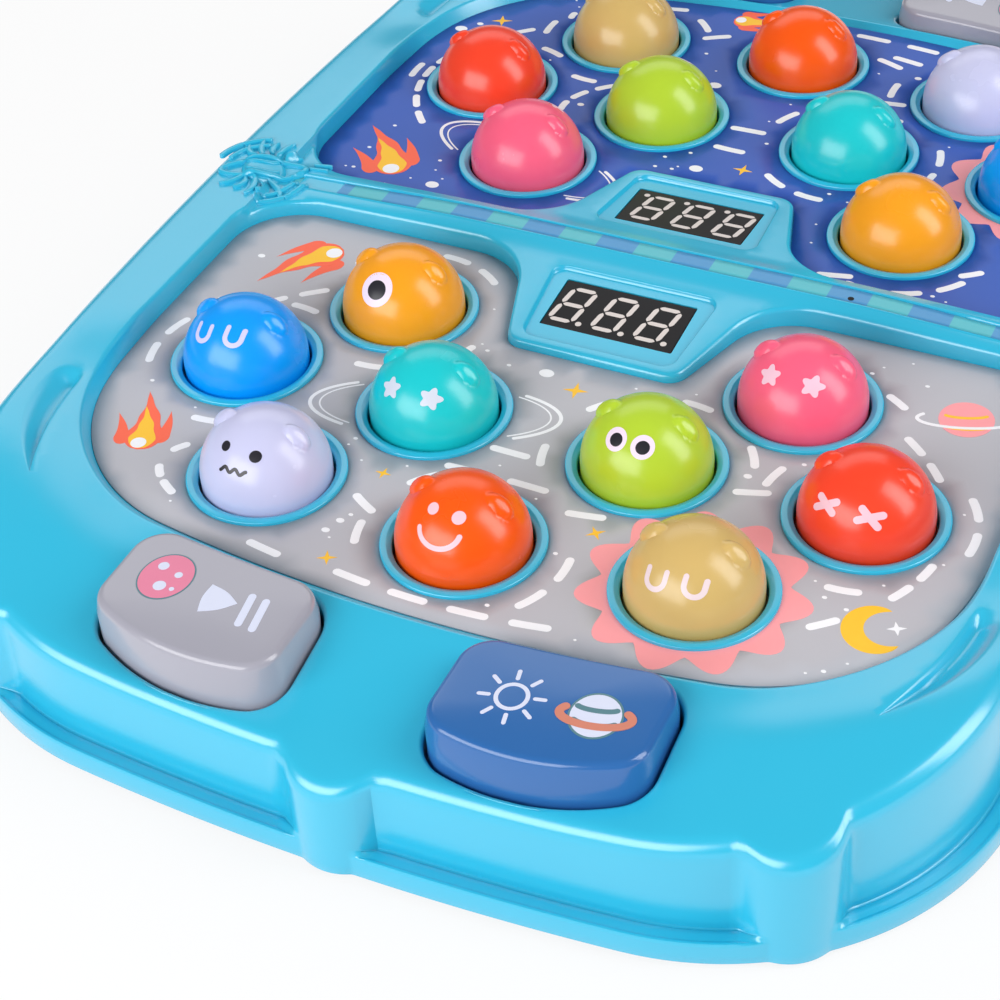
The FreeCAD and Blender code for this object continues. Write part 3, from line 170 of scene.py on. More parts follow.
class ToyPanels(bpy.types.PropertyGroup):
    near: colour("Near panel", "Ground colour of the near sheet", 184, 183, 190)
    far: colour("Far panel", "Ground colour of the far sheet", 48, 90, 184)
    chalk: colour("White print", "Dashes and dots on both sheets", 244, 244, 248)
    flame: colour("Orange print", "Comets and planets", 255, 104, 72)
    sun: colour("Yellow print", "Stars and comet tails", 255, 196, 40)
    rose: colour("Pink print", "Planets and rings", 255, 160, 165)
    teal: colour("Strip, light cells", "Light cells of the checker strip", 88, 188, 200)
    sky: colour("Strip, blue cells", "Blue cells of the checker strip", 80, 152, 204)


class ToyMoles(bpy.types.PropertyGroup):
    radius: length("Radius", "Radius of a mole's dome", 16.6)
    ear: length("Ear", "How far the ears stand out of the dome", 1.9)
    yellow: colour("Yellow", "Yellow moles", 250, 162, 26)
    pink: colour("Pink", "Pink moles", 255, 98, 132)
    blue: colour("Blue", "Blue moles", 0, 156, 255)
    turquoise: colour("Turquoise", "Turquoise moles", 22, 200, 206)
    green: colour("Green", "Green moles", 180, 210, 52)
    red: colour("Red", "Red moles", 250, 68, 38)
    lilac: colour("Lilac", "Lilac moles", 200, 201, 234)
    orange: colour("Orange", "Orange moles", 255, 88, 2)
    beige: colour("Beige", "Beige moles", 210, 177, 108)
    pale: colour("Pale print", "Pale parts of the faces", 240, 222, 240)
    dark: colour("Dark print", "Dark parts of the faces", 38, 36, 44)


class ToyButtons(bpy.types.PropertyGroup):
    grey: colour("Start button", "Grey start buttons", 162, 161, 173)
    navy: colour("Mode button", "Navy mode buttons", 44, 102, 168)
    rose: colour("Pink sign", "Moon on the start buttons", 226, 128, 158)
    moss: colour("Grey-green sign", "Outlines and bands of the signs", 84, 128, 138)
    clay: colour("Orange sign", "Ring of the planet on the mode buttons", 208, 128, 106)
    chalk: colour("Pale sign", "Pale parts of the signs", 214, 219, 240)
    rise: length("Rise", "Height of a button's back edge above the panels", 6.7)
    edge: length("Edge", "Rounding of a button's top edge", 2.0)
    crown: length("Crown", "How far the middle of a button stands up", 0.5)


class ToyDisplays(bpy.types.PropertyGroup):
    face: colour("Window", "Dark face of the displays", 26, 24, 27)
    digit: colour("Digits", "Unlit segments", 218, 208, 204)
    height: length("Digit height", "Height of a digit", 13.0)
    stroke: length("Segment", "Width of a segment", 1.4)


class ToyStage(bpy.types.PropertyGroup):
    floor: colour("Floor", "Colour of the floor", 240, 240, 241)
    key: power("Key light", "Power of the right lamp, which the back lamp follows", 8.8)
    fill: power("Fill light", "Power of the front lamp", 10.0)


GROUPS = {"toy_casing": ToyCasing, "toy_panels": ToyPanels, "toy_moles": ToyMoles,
          "toy_buttons": ToyButtons, "toy_displays": ToyDisplays, "toy_stage": ToyStage}


def sizes(group):
    return getattr(bpy.context.scene, group)


def smooth(value):
    """0 below 0, 1 above 1, and 3t^2 - 2t^3 between."""
    t = np.clip(value, 0, 1)
    return t * t * (3 - 2 * t)


def soft_min(a, b, width):
    """The smaller of a and b, rounded over a width where they cross: a log of summed exponentials."""
    return -width * np.logaddexp(-np.asarray(a) / width, -np.asarray(b) / width)


def half_turn(points):
    """The same points on the far half: x and y change sign."""
    return points * np.array([-1, -1, 1])[:points.shape[-1]]


def arc(centre, radius, start, end, step=1.2, side=1):
    """Points of a circle from one angle to another, with normals that point away from the centre, or
    towards it where side is -1."""
    count = max(int(abs(end - start) * radius / step), 3)
    angle = np.linspace(start, end, count + 1)
    ray = np.stack([np.cos(angle), np.sin(angle)], 1)
    return np.asarray(centre) + radius * ray, side * ray


def line(start, end, normal, step=2.5):
    """Evenly spaced points of a straight line, which all share one normal."""
    start, end = np.asarray(start), np.asarray(end)
    count = max(int(np.linalg.norm(end - start) / step), 1)
    points = start + np.linspace(0, 1, count + 1)[:, None] * (end - start)
    return points, np.tile(normal, (count + 1, 1))


def joined(parts):
    """One closed outline of parts that touch: points and normals, without the doubled points."""
    points, normals = (np.concatenate([p[k] for p in parts]) for k in (0, 1))
    keep = np.linalg.norm(points - np.roll(points, -1, 0), axis=1) > 1e-6
    return points[keep], normals[keep]


def mirrored(outline):
    """The outline on the other side of x = 0, in the opposite order, so that it still runs the same way."""
    flip = np.array([-1, 1])
    return outline[0][::-1] * flip, outline[1][::-1] * flip


def rim_corner():
    """Centre of the corner circle, which touches the end circle and the side circle from inside."""
    end_y, side_x = HALF_LENGTH - END_RADIUS, HALF_WIDTH - SIDE_RADIUS
    reach_end, reach_side = END_RADIUS - CORNER_RADIUS, SIDE_RADIUS - CORNER_RADIUS
    span = hypot(side_x, end_y)
    along = (span ** 2 + reach_side ** 2 - reach_end ** 2) / (2 * span)
    across = sqrt(reach_side ** 2 - along ** 2)
    ux, uy = -side_x / span, end_y / span
    return side_x + along * ux - across * uy, along * uy + across * ux


def rim_outline():
    """The rim's outline, anticlockwise, as eight tangent arcs, with close points at the posts."""
    end_y, side_x = HALF_LENGTH - END_RADIUS, HALF_WIDTH - SIDE_RADIUS
    cx, cy = rim_corner()
    to_end, to_side = atan2(cy - end_y, cx), atan2(cy, cx - side_x)
    step = 0.5
    right = [arc((side_x, 0), SIDE_RADIUS, -to_side, to_side, step)]
    top = [arc((cx, cy), CORNER_RADIUS, to_side, to_end, step),
           arc((0, end_y), END_RADIUS, to_end, pi - to_end, step),
           arc((-cx, cy), CORNER_RADIUS, pi - to_end, pi - to_side, step)]
    parts = right + top
    parts = parts + [(half_turn(p), half_turn(n)) for p, n in parts]
    points, normals = joined(parts)
    gap = np.abs(np.linalg.norm(points[:, None] - post_places(), axis=2)).min(1)
    bend = np.abs(normals).min(1) > 0.2
    order = np.arange(len(points))
    keep = (gap < POST_RADIUS + 1.5) | (order % np.where(bend, 4, 7) == 0)
    return points[keep], normals[keep]


def post_places():
    """Centres of the six posts: one in the middle of each end, and one at each corner."""
    cx, cy = rim_corner()
    reach = CORNER_RADIUS + POST_PROUD - POST_RADIUS
    x, y = cx + reach * cos(POST_ANGLE), cy - reach * sin(POST_ANGLE)
    end = HALF_LENGTH + POST_PROUD - POST_RADIUS
    return np.array([(0, end), (x, y), (-x, y), (0, -end), (x, -y), (-x, -y)])


def bar_fall(ax):
    """How far the bar has fallen at a distance from the middle: nothing, then a bend, then a slope."""
    return BAR_SLOPE * BAR_BEND * np.logaddexp(0, (ax - BAR_LEVEL) / BAR_BEND)


def casing_height(x, y):
    """Top of the casing. Frames and aprons are the smaller of two heights, rounded where they meet, and
    dip towards the panels' corners. The bar has a channel inside a ridge that goes round it, falls to its
    edges and its ends, and meets the frames at a step that turns into a ramp near the middle line. The
    lobes fall on towards their ends."""
    ax, ay = np.abs(x), np.abs(y)
    apron = APRON_RISE + 1.5 * smooth((ax - 50) / 50) - APRON_SLOPE * (ay - APRON_START)
    corner_x = PANEL_HALF - PANEL_CORNER
    away = np.hypot(np.maximum(ax - corner_x, 0), np.maximum(ay - CORNER_Y, 0)) - PANEL_CORNER
    dip = smooth((ay - DIP_START) / DIP_RUN) * (1 - smooth(away / DIP_REACH)) * smooth((ax - 50) / 40)
    rise = soft_min(FRAME_RISE, apron, FRAME_BLEND) - LIP_DIP * dip
    plain = np.interp(ay, [0, CHANNEL_HALF, BAR_HALF], [BAR_TOP, BAR_TOP, BAR_EDGE])
    off_strip = np.hypot(np.maximum(ax - STRIP_END + STRIP_HALF, 0), ay)
    ridge = np.interp(off_strip, RIDGE_AT, RIDGE_RISE)
    bar = plain + ridge - bar_fall(ax) * (1 - 0.5 * smooth(ay / BAR_HALF))
    bar = bar - np.maximum(ay - BAR_HALF, 0) * LOBE_FALL * (1 - smooth((ax - 45) / 15))
    ramp = 10 - 9 * smooth((ay - 3) / 7)
    middle = (ay < LOBE_END + 4) * (1 - smooth((ax - BAR_END) / ramp))
    return PANEL + rise + (bar - rise) * middle


def panel_outline():
    """The near panel's opening at its lip, anticlockwise, with normals into the frame. Lines and tangent
    arcs follow the lobe, the bar, the side and the corner, and the near end is one long arc."""
    corner_x = PANEL_HALF - PANEL_CORNER
    end_centre = PANEL_END_RADIUS - PANEL_NEAR
    corner_y = end_centre - sqrt((PANEL_END_RADIUS - PANEL_CORNER) ** 2 - corner_x ** 2)
    touch = atan2(corner_y - end_centre, corner_x)
    lean = np.array([sin(LOBE_LEAN), cos(LOBE_LEAN)])
    cut = tan((QUARTER - LOBE_LEAN) / 2)
    tip = np.array([LOBE_HALF, -LOBE_END])
    top = np.array([LOBE_HALF + (LOBE_END - BAR_HALF) * tan(LOBE_LEAN), -BAR_HALF])
    slope = np.array([-lean[1], lean[0]])
    tip_start, tip_end = tip - [LOBE_TIP * cut, 0], tip + LOBE_TIP * cut * lean
    root_start, root_end = top - LOBE_ROOT * cut * lean, top + [LOBE_ROOT * cut, 0]
    right = [
        line((0, -LOBE_END), tip_start, (0, 1)),
        arc(tip_start + [0, LOBE_TIP], LOBE_TIP, -QUARTER, -LOBE_LEAN, 0.8, -1),
        line(tip_end, root_start, slope),
        arc(root_end - [0, LOBE_ROOT], LOBE_ROOT, pi - LOBE_LEAN, QUARTER),
        line(root_end, (PANEL_HALF - BAR_CORNER, -BAR_HALF), (0, 1)),
        arc((PANEL_HALF - BAR_CORNER, -BAR_HALF - BAR_CORNER), BAR_CORNER, QUARTER, 0, 0.5),
        line((PANEL_HALF, -BAR_HALF - BAR_CORNER), (PANEL_HALF, corner_y), (1, 0)),
        arc((corner_x, corner_y), PANEL_CORNER, 0, touch, 2.2),
        arc((0, end_centre), PANEL_END_RADIUS, touch, -QUARTER, 2.5),
    ]
    right = tuple(np.concatenate([part[k] for part in right]) for k in (0, 1))
    points, normals = joined([right, mirrored(right)])
    return points[::-1], normals[::-1]


def button_outline():
    """The right near button's hole, anticlockwise: the back arc follows the panel's end, the front is a
    rounder arc, and the corner circles touch both arcs and the straight sides."""
    low, high = BUTTON_SIDES
    middle = 0.5 * (low + high)
    r, back_r, front_r = BUTTON_CORNER, PANEL_END_RADIUS, BUTTON_FRONT_RADIUS
    back = -BUTTON_BACK + sqrt(back_r ** 2 - middle ** 2)
    front_x, front = BUTTON_FRONT_CENTRE, front_r - BUTTON_FRONT

    def back_corner(x):
        return np.array([x, back - sqrt((back_r + r) ** 2 - x ** 2)])

    def front_corner(x):
        return np.array([x, front - sqrt((front_r - r) ** 2 - (x - front_x) ** 2)])

    br, bl = back_corner(high - r), back_corner(low + r)
    fl, fr = front_corner(low + r), front_corner(high - r)
    up_r, up_l = (atan2(back - c[1], -c[0]) for c in (br, bl))
    down_l, down_r = (atan2(c[1] - front, c[0] - front_x) for c in (fl, fr))
    return joined([
        line(fr + [r, 0], br + [r, 0], (1, 0), 1.5), arc(br, r, 0, up_r, 0.8),
        arc((0, back), back_r, up_r - pi, up_l - pi, 1.5, -1), arc(bl, r, up_l, pi, 0.8),
        line(bl - [r, 0], fl - [r, 0], (-1, 0), 1.5), arc(fl, r, pi, down_l + TURN, 0.8),
        arc((front_x, front), front_r, down_l, down_r, 1.5), arc(fr, r, down_r, 0, 0.8)])


def rounded_polygon(corners, radius, step=0.6):
    """An anticlockwise convex polygon with rounded corners: at each corner a tangent arc."""
    corners = np.asarray(corners, float)
    parts = []
    for k, here in enumerate(corners):
        before, after = corners[k - 1] - here, corners[(k + 1) % len(corners)] - here
        before, after = before / np.linalg.norm(before), after / np.linalg.norm(after)
        bisector = (before + after) / np.linalg.norm(before + after)
        sine = np.linalg.norm(np.cross(bisector, after))
        centre = here + bisector * radius / sine
        start = atan2(before[0], -before[1])
        turn = pi - acos(float(np.clip(before @ after, -1, 1)))
        parts.append(arc(centre, radius, start, start + turn, step))
    whole = []
    for k, part in enumerate(parts):
        end, begin = part[0][-1], parts[(k + 1) % len(parts)][0][0]
        whole += [part, line(end, begin, part[1][-1], 2.0)]
    return joined(whole)


def dish_outline():
    """The near display's dish, wider at the bar than at the lobe's end."""
    return rounded_polygon([(-21.4, -41.2), (21.4, -41.2), (24.0, -12.2), (-24.0, -12.2)], 3.6)


def window_outline():
    """The hole in the near dish that shows the display."""
    x = 0.5 * DISPLAY_SIZE[0] + WINDOW_GAP
    y = 0.5 * DISPLAY_SIZE[1] * cos(radians(LOBE_SLOPE)) + WINDOW_GAP
    low, high = -DISPLAY_PLACE - y, -DISPLAY_PLACE + y
    return rounded_polygon([(-x, low), (x, low), (x, high), (-x, high)], 0.5, 0.3)


def curve_through(knots, count):
    """The polynomial through the knots, sampled evenly along a parameter that follows their chords."""
    knots = np.asarray(knots)
    chord = np.concatenate([[0], np.cumsum(np.linalg.norm(np.diff(knots, axis=0), axis=1))])
    t = chord / chord[-1]
    at = np.linspace(0, 1, count)
    return np.stack([np.polyval(np.polyfit(t, knots[:, k], len(t) - 1), at) for k in (0, 1)], 1)


def inside(points, loop):
    """Which points lie inside a closed loop: a ray to the right crosses it an odd number of times."""
    x, y = points[:, :1], points[:, 1:]
    ax, ay = loop[:, 0], loop[:, 1]
    bx, by = np.roll(ax, -1), np.roll(ay, -1)
    over = (ay > y) != (by > y)
    rise = np.where(by == ay, 1, by - ay)
    return ((over & (x < (bx - ax) * (y - ay) / rise + ax)).sum(1) % 2) == 1


def round_strip(distance):
    """A closed line round the strip, at one distance from its middle line."""
    reach = STRIP_END - STRIP_HALF
    right, left = (arc((side * reach, 0), distance, start, start + pi, 0.6)[0]
                   for side, start in ((1, -QUARTER), (-1, QUARTER)))
    back, front = line(right[-1], left[0], (0, 1))[0], line(left[-1], right[0], (0, -1))[0]
    return np.concatenate([right, back[1:-1], left, front[1:]])


def step_line(x, side_x, side_y, lip):
    """A line along the step between bar and frame, which stops short of the panel's lip."""
    reach = sqrt((BAR_CORNER + lip) ** 2 - (x - PANEL_HALF + BAR_CORNER) ** 2)
    y = np.linspace(6, BAR_HALF + BAR_CORNER - reach - 0.4, 7)
    return np.column_stack([np.full(7, side_x * x), side_y * y])


def filled(outer, holes, spacing, lines=(), skip=None):
    """Triangles between an outline and its holes: a Delaunay net through the loops, open lines, and a
    staggered grid that keeps off the loops and the places that skip names. Returns plan points and
    triangles that face up."""
    loops = [outer] + list(holes)
    low, high = outer.min(0), outer.max(0)
    rows = np.arange(low[1], high[1], spacing * 0.866)
    columns = np.arange(low[0], high[0] + spacing, spacing)
    grid = np.stack(np.meshgrid(columns, rows), -1)
    grid[1::2, :, 0] += spacing / 2
    grid = grid.reshape(-1, 2)
    keep = inside(grid, outer)
    for hole in holes:
        keep &= ~inside(grid, hole)
    if skip is not None:
        keep &= ~skip(grid)
    grid = grid[keep]
    fixed = np.concatenate(loops)
    near = np.concatenate([np.linalg.norm(part[:, None] - fixed, axis=2).min(1)
                           for part in np.array_split(grid, 1 + len(grid) // 2000)])
    grid = grid[near > 0.62 * spacing]
    edges, count = [], 0
    for k, path in enumerate(loops + list(lines)):
        index = count + np.arange(len(path))
        closed = np.stack([index, np.roll(index, -1)], 1)
        edges.append(closed if k < len(loops) else closed[:-1])
        count += len(path)
    points = np.concatenate(loops + list(lines) + [grid])
    net = delaunay_2d_cdt([Vector(p) for p in points], np.concatenate(edges).tolist(), [], 0, 1e-6, True)
    points = np.array([tuple(p) for p in net[0]])
    faces = np.array([f for f in net[2] if len(f) == 3])
    middle = points[faces].mean(1)
    keep = inside(middle, outer)
    for hole in holes:
        keep &= ~inside(middle, hole)
    faces = faces[keep]
    a, b, c = (points[faces[:, k]] for k in range(3))
    area = (b[:, 0] - a[:, 0]) * (c[:, 1] - a[:, 1]) - (b[:, 1] - a[:, 1]) * (c[:, 0] - a[:, 0])
    faces[area < 0] = faces[area < 0][:, ::-1]
    return points, faces[np.abs(area) > 1e-9]


class Skin:
    """Gathers grids and triangles in millimetres, with a material number for each face."""

    def __init__(self):
        self.points, self.faces, self.marks, self.count = [], [], [], 0

    def add(self, points, faces, mark=0):
        points = np.asarray(points, float).reshape(-1, 3)
        faces = np.asarray(faces) + self.count
        self.points.append(points)
        self.faces += faces.tolist()
        self.marks += [mark] * len(faces)
        self.count += len(points)

    def grid(self, rows, wrap=True, mark=0):
        """A grid as quads that face along its column direction crossed with its row direction."""
        r, c = rows.shape[:2]
        index = np.arange(r * c).reshape(r, c)
        if wrap:
            index = np.concatenate([index, index[:, :1]], 1)
        quads = [index[:-1, :-1], index[:-1, 1:], index[1:, 1:], index[1:, :-1]]
        self.add(rows, np.stack(quads, -1).reshape(-1, 4), mark)

    def far(self):
        """The same skin, moved to the far half."""
        self.points = [half_turn(np.concatenate(self.points))]

    def turned(self):
        """The same skin with a copy on the far half."""
        points = np.concatenate(self.points)
        faces, marks = list(self.faces), list(self.marks)
        self.points.append(half_turn(points))
        self.faces += [[k + self.count for k in face] for face in faces]
        self.marks += marks
        self.count *= 2
        return self

    def build(self, name, materials, body, slot, replaces=(), wall=0.0, sharp=38):
        """The welded mesh object. It rides a body, and its wall is thickened inwards where one is given."""
        mesh = bpy.data.meshes.new(name)
        mesh.from_pydata((np.concatenate(self.points) / 1000).tolist(), [], self.faces)
        mesh.polygons.foreach_set("material_index", self.marks)
        work = bmesh.new()
        work.from_mesh(mesh)
        bmesh.ops.remove_doubles(work, verts=work.verts, dist=2e-6)
        bmesh.ops.dissolve_degenerate(work, edges=work.edges, dist=1e-7)
        work.to_mesh(mesh)
        work.free()
        for material in materials:
            mesh.materials.append(material)
        mesh.shade_smooth()
        mesh.set_sharp_from_angle(angle=radians(sharp))
        piece = bpy.data.objects.new(name, mesh)
        bpy.context.scene.collection.objects.link(piece)
        if wall:
            solid = piece.modifiers.new("Wall", "SOLIDIFY")
            solid.thickness, solid.offset = wall / 1000, -1
        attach(piece, body)
        if replaces:
            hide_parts(*replaces)
        return piece


def raised(outline, offsets, heights):
    """A profile carried round an outline: each row is the outline moved along its normals by that row's
    offset, at that row's height. Offsets and heights may differ from point to point."""
    points, normals = outline
    rows = []
    for offset, height in zip(offsets, heights):
        plan = points + normals * np.broadcast_to(offset, len(points))[:, None]
        if callable(height):
            height = height(plan[:, 0], plan[:, 1])
        rows.append(np.column_stack([plan, np.broadcast_to(height, len(points))]))
    return np.array(rows)


def quarter(steps):
    """Angles from 0 to a right angle."""
    return np.linspace(0, QUARTER, steps + 1)


def round_angles(count):
    """Evenly spaced angles of a full turn."""
    return np.linspace(0, TURN, count, endpoint=False)


def turned_ring(profile, x, y, columns):
    """A lathe: each (radius, height) of the profile goes round the axis at x, y."""
    profile, angle = np.asarray(profile, float), round_angles(columns)
    radius, height = profile[:, :1], profile[:, 1:]
    return np.stack([x + radius * np.cos(angle), y + radius * np.sin(angle), height + 0 * angle], -1)


def under(drop):
    """The casing's top surface, lowered by drop."""
    return lambda x, y: casing_height(x, y) - drop


def rolled(edge, steps, offsets, drops):
    """Rows of an edge that rolls from the casing's top into a hole in a quarter circle, and of the wall
    below it: their offsets, and their heights as drops from the top."""
    turns = quarter(steps)
    return ([edge * (1 - sin(a)) for a in turns] + offsets,
            [under(edge * (1 - cos(a))) for a in turns] + [under(drop) for drop in drops])


# Shader maths


def maths(operation, swap=False):
    """An operator of the Value class: it adds a Math node on two values, in the other order for swap."""
    def method(value, other):
        pair = (other, value) if swap else (value, other)
        return value.tree.node("Math", dict(enumerate(pair)), operation=operation)
    return method


class Value:
    """A socket that can be used in Python expressions: each operator adds its Math node."""

    def __init__(self, tree, socket):
        self.tree, self.socket = tree, socket

    __add__ = __radd__ = maths("ADD")
    __mul__ = __rmul__ = maths("MULTIPLY")
    __sub__, __rsub__ = maths("SUBTRACT"), maths("SUBTRACT", True)
    __truediv__, __gt__ = maths("DIVIDE"), maths("GREATER_THAN")


class Tree:
    """A node tree, with one method that adds any node."""

    def __init__(self, owner):
        owner.use_nodes = True
        self.tree = owner.node_tree
        self.tree.nodes.clear()

    def node(self, kind, values=None, output=0, **settings):
        """Adds a node: its settings first, then the values or links of its sockets."""
        made = self.tree.nodes.new("ShaderNode" + kind)
        for key, setting in settings.items():
            setattr(made, key, setting)
        for key, value in (values or {}).items():
            socket = made.inputs[key]
            if isinstance(value, Value):
                self.tree.links.new(value.socket, socket)
            else:
                fits = socket.type == "RGBA" and len(value) == 3
                socket.default_value = tuple(value) + (1,) if fits else value
        return Value(self, made.outputs[output])

    def place(self, scale=(1, 1, 1)):
        """Object coordinates, scaled."""
        return self.node("Mapping", {"Vector": self.node("TexCoord", output="Object"), "Scale": scale})

    def noise(self, scale, detail=3.0, where=None):
        """Even noise, its size given in features a metre."""
        where = where or self.place()
        return self.node("TexNoise", {"Vector": where, "Scale": scale, "Detail": detail})

    def blend(self, factor, a, b):
        """Colour a where the factor is 0, and b where it is 1."""
        return self.node("Mix", {0: factor, 6: a, 7: b}, output=2, data_type="RGBA")

    def finish(self, shader, kind="Material"):
        self.tree.links.new(shader.socket, self.tree.nodes.new("ShaderNodeOutput" + kind).inputs["Surface"])


def finish_of(name, tint, spread):
    """A new material, its tree, and two colours a little darker and lighter than tint."""
    material, tint = bpy.data.materials.new(name), np.array(tint)
    return material, Tree(material), tuple(tint * (1 - spread)), tuple(np.minimum(tint * (1 + spread), 1))


def moulded(name, tint, rough, spread=0.03, grain=0.00001, coat=0.0, **fixed):
    """Moulded plastic: its colour drifts slowly, a faint haze lies in the gloss, and a fine grain bumps it.
    The noises are given in features a metre."""
    material, tree, dark, light = finish_of(name, tint, spread)
    drift, haze, fine = tree.noise(9.0), tree.noise(60.0), tree.noise(1400.0, 2.0)
    bump = tree.node("Bump", {"Height": fine, "Distance": grain, "Strength": 0.35})
    values = {"Base Color": tree.blend(drift, dark, light), "Roughness": haze * 0.08 + (rough - 0.04),
              "Normal": bump, "Coat Weight": coat, "Coat Roughness": 0.12}
    values.update(fixed)
    tree.finish(tree.node("BsdfPrincipled", values))
    return material


def printed(name, tint, rough=0.45):
    """Pad-printed ink: nearly even, with a slight mottle."""
    material, tree, dark, light = finish_of(name, tint, 0.02)
    tree.finish(tree.node("BsdfPrincipled", {
        "Base Color": tree.blend(tree.noise(500.0), dark, light),
        "Roughness": tree.noise(180.0) * 0.1 + (rough - 0.05)}))
    return material


def metal(name, tint, rough):
    """Plated metal with fine drawn streaks in its gloss."""
    material, tree, dark, light = finish_of(name, tint, 0.06)
    streaks = tree.noise(700.0, 2.0, tree.place((1, 1, 0.15)))
    tree.finish(tree.node("BsdfPrincipled", {
        "Base Color": tree.blend(streaks, dark, light), "Metallic": 1.0,
        "Roughness": streaks * 0.2 + (rough - 0.1)}))
    return material


# Prints: grids of plan points with a lift, laid on a surface by a mapping


def patch(radius, rings=5, count=40, inner=0.0):
    """A patch round the origin whose edge is at radius(angle). Rings run from the sunk edge to the
    middle, or to an inner radius where the patch is a ring."""
    angle = round_angles(count)
    edge = np.broadcast_to(radius(angle) if callable(radius) else radius, count)
    share_out = np.concatenate([[1.0], np.linspace(1, 0, rings + 1)])[:, None]
    reach = inner + share_out * (edge - inner)
    plan = np.stack([reach * np.cos(angle), reach * np.sin(angle)], -1)
    lift = np.where(np.arange(rings + 2) == 0, -1.0, 1.0)[:, None] + 0 * angle
    return plan, lift, True


def placed(shape, x, y, turn=0.0, stretch=(1, 1)):
    """A shape stretched, turned by degrees and moved."""
    plan, lift, wrap = shape
    c, s = cos(radians(turn)), sin(radians(turn))
    plan = plan * np.asarray(stretch)
    return plan @ np.array([[c, s], [-s, c]]) + [x, y], lift, wrap


def star(outer, inner, points):
    """A star patch: the edge runs straight between outer points and inner corners."""
    def radius(angle):
        t = np.abs((angle * points / TURN) % 1 - 0.5) * 2
        half = pi / points
        a, b = np.array([outer, 0]), inner * np.array([cos(half), sin(half)])
        at = (1 - t) * half
        across = a[0] * b[1] - a[1] * b[0]
        return across / (np.cos(at) * (b[1] - a[1]) - np.sin(at) * (b[0] - a[0]))
    return patch(radius, 4, points * 12)


def stroke(path, half_width, taper=None, ends=True, across=5):
    """A ribbon along a path: its points are moved sideways by the half width, which closes in a half
    circle at both ends, or follows taper(share of the length)."""
    path = np.asarray(path, float)
    step = np.gradient(path, axis=0)
    step /= np.linalg.norm(step, axis=1)[:, None]
    if ends and taper is None:
        reach = np.cos(quarter(5))[:, None] * half_width
        path = np.concatenate([path[0] - step[0] * reach, path[1:-1], path[-1] + step[-1] * reach[::-1]])
        step = np.concatenate([np.tile(step[0], (6, 1)), step[1:-1], np.tile(step[-1], (6, 1))])
        cap = np.sqrt(np.maximum(1 - (reach[:, 0] / half_width) ** 2, 0))
        half = half_width * np.concatenate([cap, np.ones(len(path) - 12), cap[::-1]])
    else:
        t = np.linspace(0, 1, len(path))
        half = half_width * (taper(t) if taper else np.ones(len(path)))
    side = np.stack([-step[:, 1], step[:, 0]], 1)
    v = np.concatenate([[-1], np.linspace(-1, 1, across), [1]])
    plan = path[:, None] + side[:, None] * (half[:, None] * v)[..., None]
    rim = np.abs(np.arange(across + 2) - (across + 1) / 2) > across / 2
    lift = np.where(rim, -1.0, 1.0) + 0 * half[:, None]
    return plan[:, ::-1], lift, False


def bow(x, y, rx, ry, start, end, count=24):
    """Points of an ellipse between two angles in degrees."""
    angle = np.radians(np.linspace(start, end, count))
    return np.stack([x + rx * np.cos(angle), y + ry * np.sin(angle)], 1)


def straight(a, b, count=8):
    return np.asarray(a) + np.linspace(0, 1, count)[:, None] * (np.asarray(b) - np.asarray(a))


def lay(skin, shape, mapping, mark, level=0, thick=0.05):
    """Puts a print on a surface. Its edge row is sunk, and the rest stands up by the ink's thickness,
    which grows with each level, so that one ink covers another."""
    plan, lift, wrap = shape
    rows = mapping(plan[..., 0], plan[..., 1], lift * thick * (1 + 0.7 * level))
    skin.grid(rows, wrap, mark)


def on_plane(height):
    return lambda x, y, lift: np.stack([x, y, height + lift], -1)


def on_bar(x, y, lift):
    """A place on the strip, which lies flush with the bar and falls with it."""
    return np.stack([x, y, PANEL + BAR_TOP - bar_fall(np.abs(x)) + lift], -1)


def on_dome(x, y, radius):
    """A mapping onto a mole's dome. The print lies in a plane that faces the player, and each point goes
    straight through it onto the sphere."""
    azimuth, tilt = radians(-2), radians(38)
    flat_share = cos(tilt)
    facing = np.array([sin(azimuth) * flat_share, -cos(azimuth) * flat_share, sin(tilt)])
    right = np.array([cos(azimuth), sin(azimuth), 0])
    up = np.cross(facing, right) * -1
    up = up if up[2] > 0 else -up

    def mapping(p, q, lift):
        depth = np.sqrt(np.maximum(radius ** 2 - p ** 2 - q ** 2, 0))
        ray = p[..., None] * right + q[..., None] * up + depth[..., None] * facing
        return np.array([x, y, MOLE_CENTRE]) + ray * (1 + lift / radius)[..., None]
    return mapping


# Faces of the moles: shapes in the plane that faces the player, with 0 for pale and 1 for dark ink


def hook(x, y, half, depth):
    """A smiling eye: two straight arms that hang from y and a half circle below them."""
    bend = bow(x, y - depth + half, half, half, 180, 360, 20)
    left, right = straight((x - half, y), bend[0], 6), straight(bend[-1], (x + half, y), 6)
    return stroke(np.concatenate([left[:-1], bend, right[1:]]), 0.64)


def cross(x, y, size):
    """Two crossed arms, one printed over the other."""
    return [(placed(stroke(straight((-reach, 0), (reach, 0)), 0.9), x, y, turn), 0, level)
            for level, (reach, turn) in enumerate(((size, 26), (0.92 * size, -38)))]


def round_eye(x, y, size):
    """A pale ball with a dark pupil."""
    return [(placed(patch(size), x, y, 0, (0.95, 1)), 0, 0),
            (placed(patch(size * 0.56), x + 0.1, y - 0.1), 1, 1)]


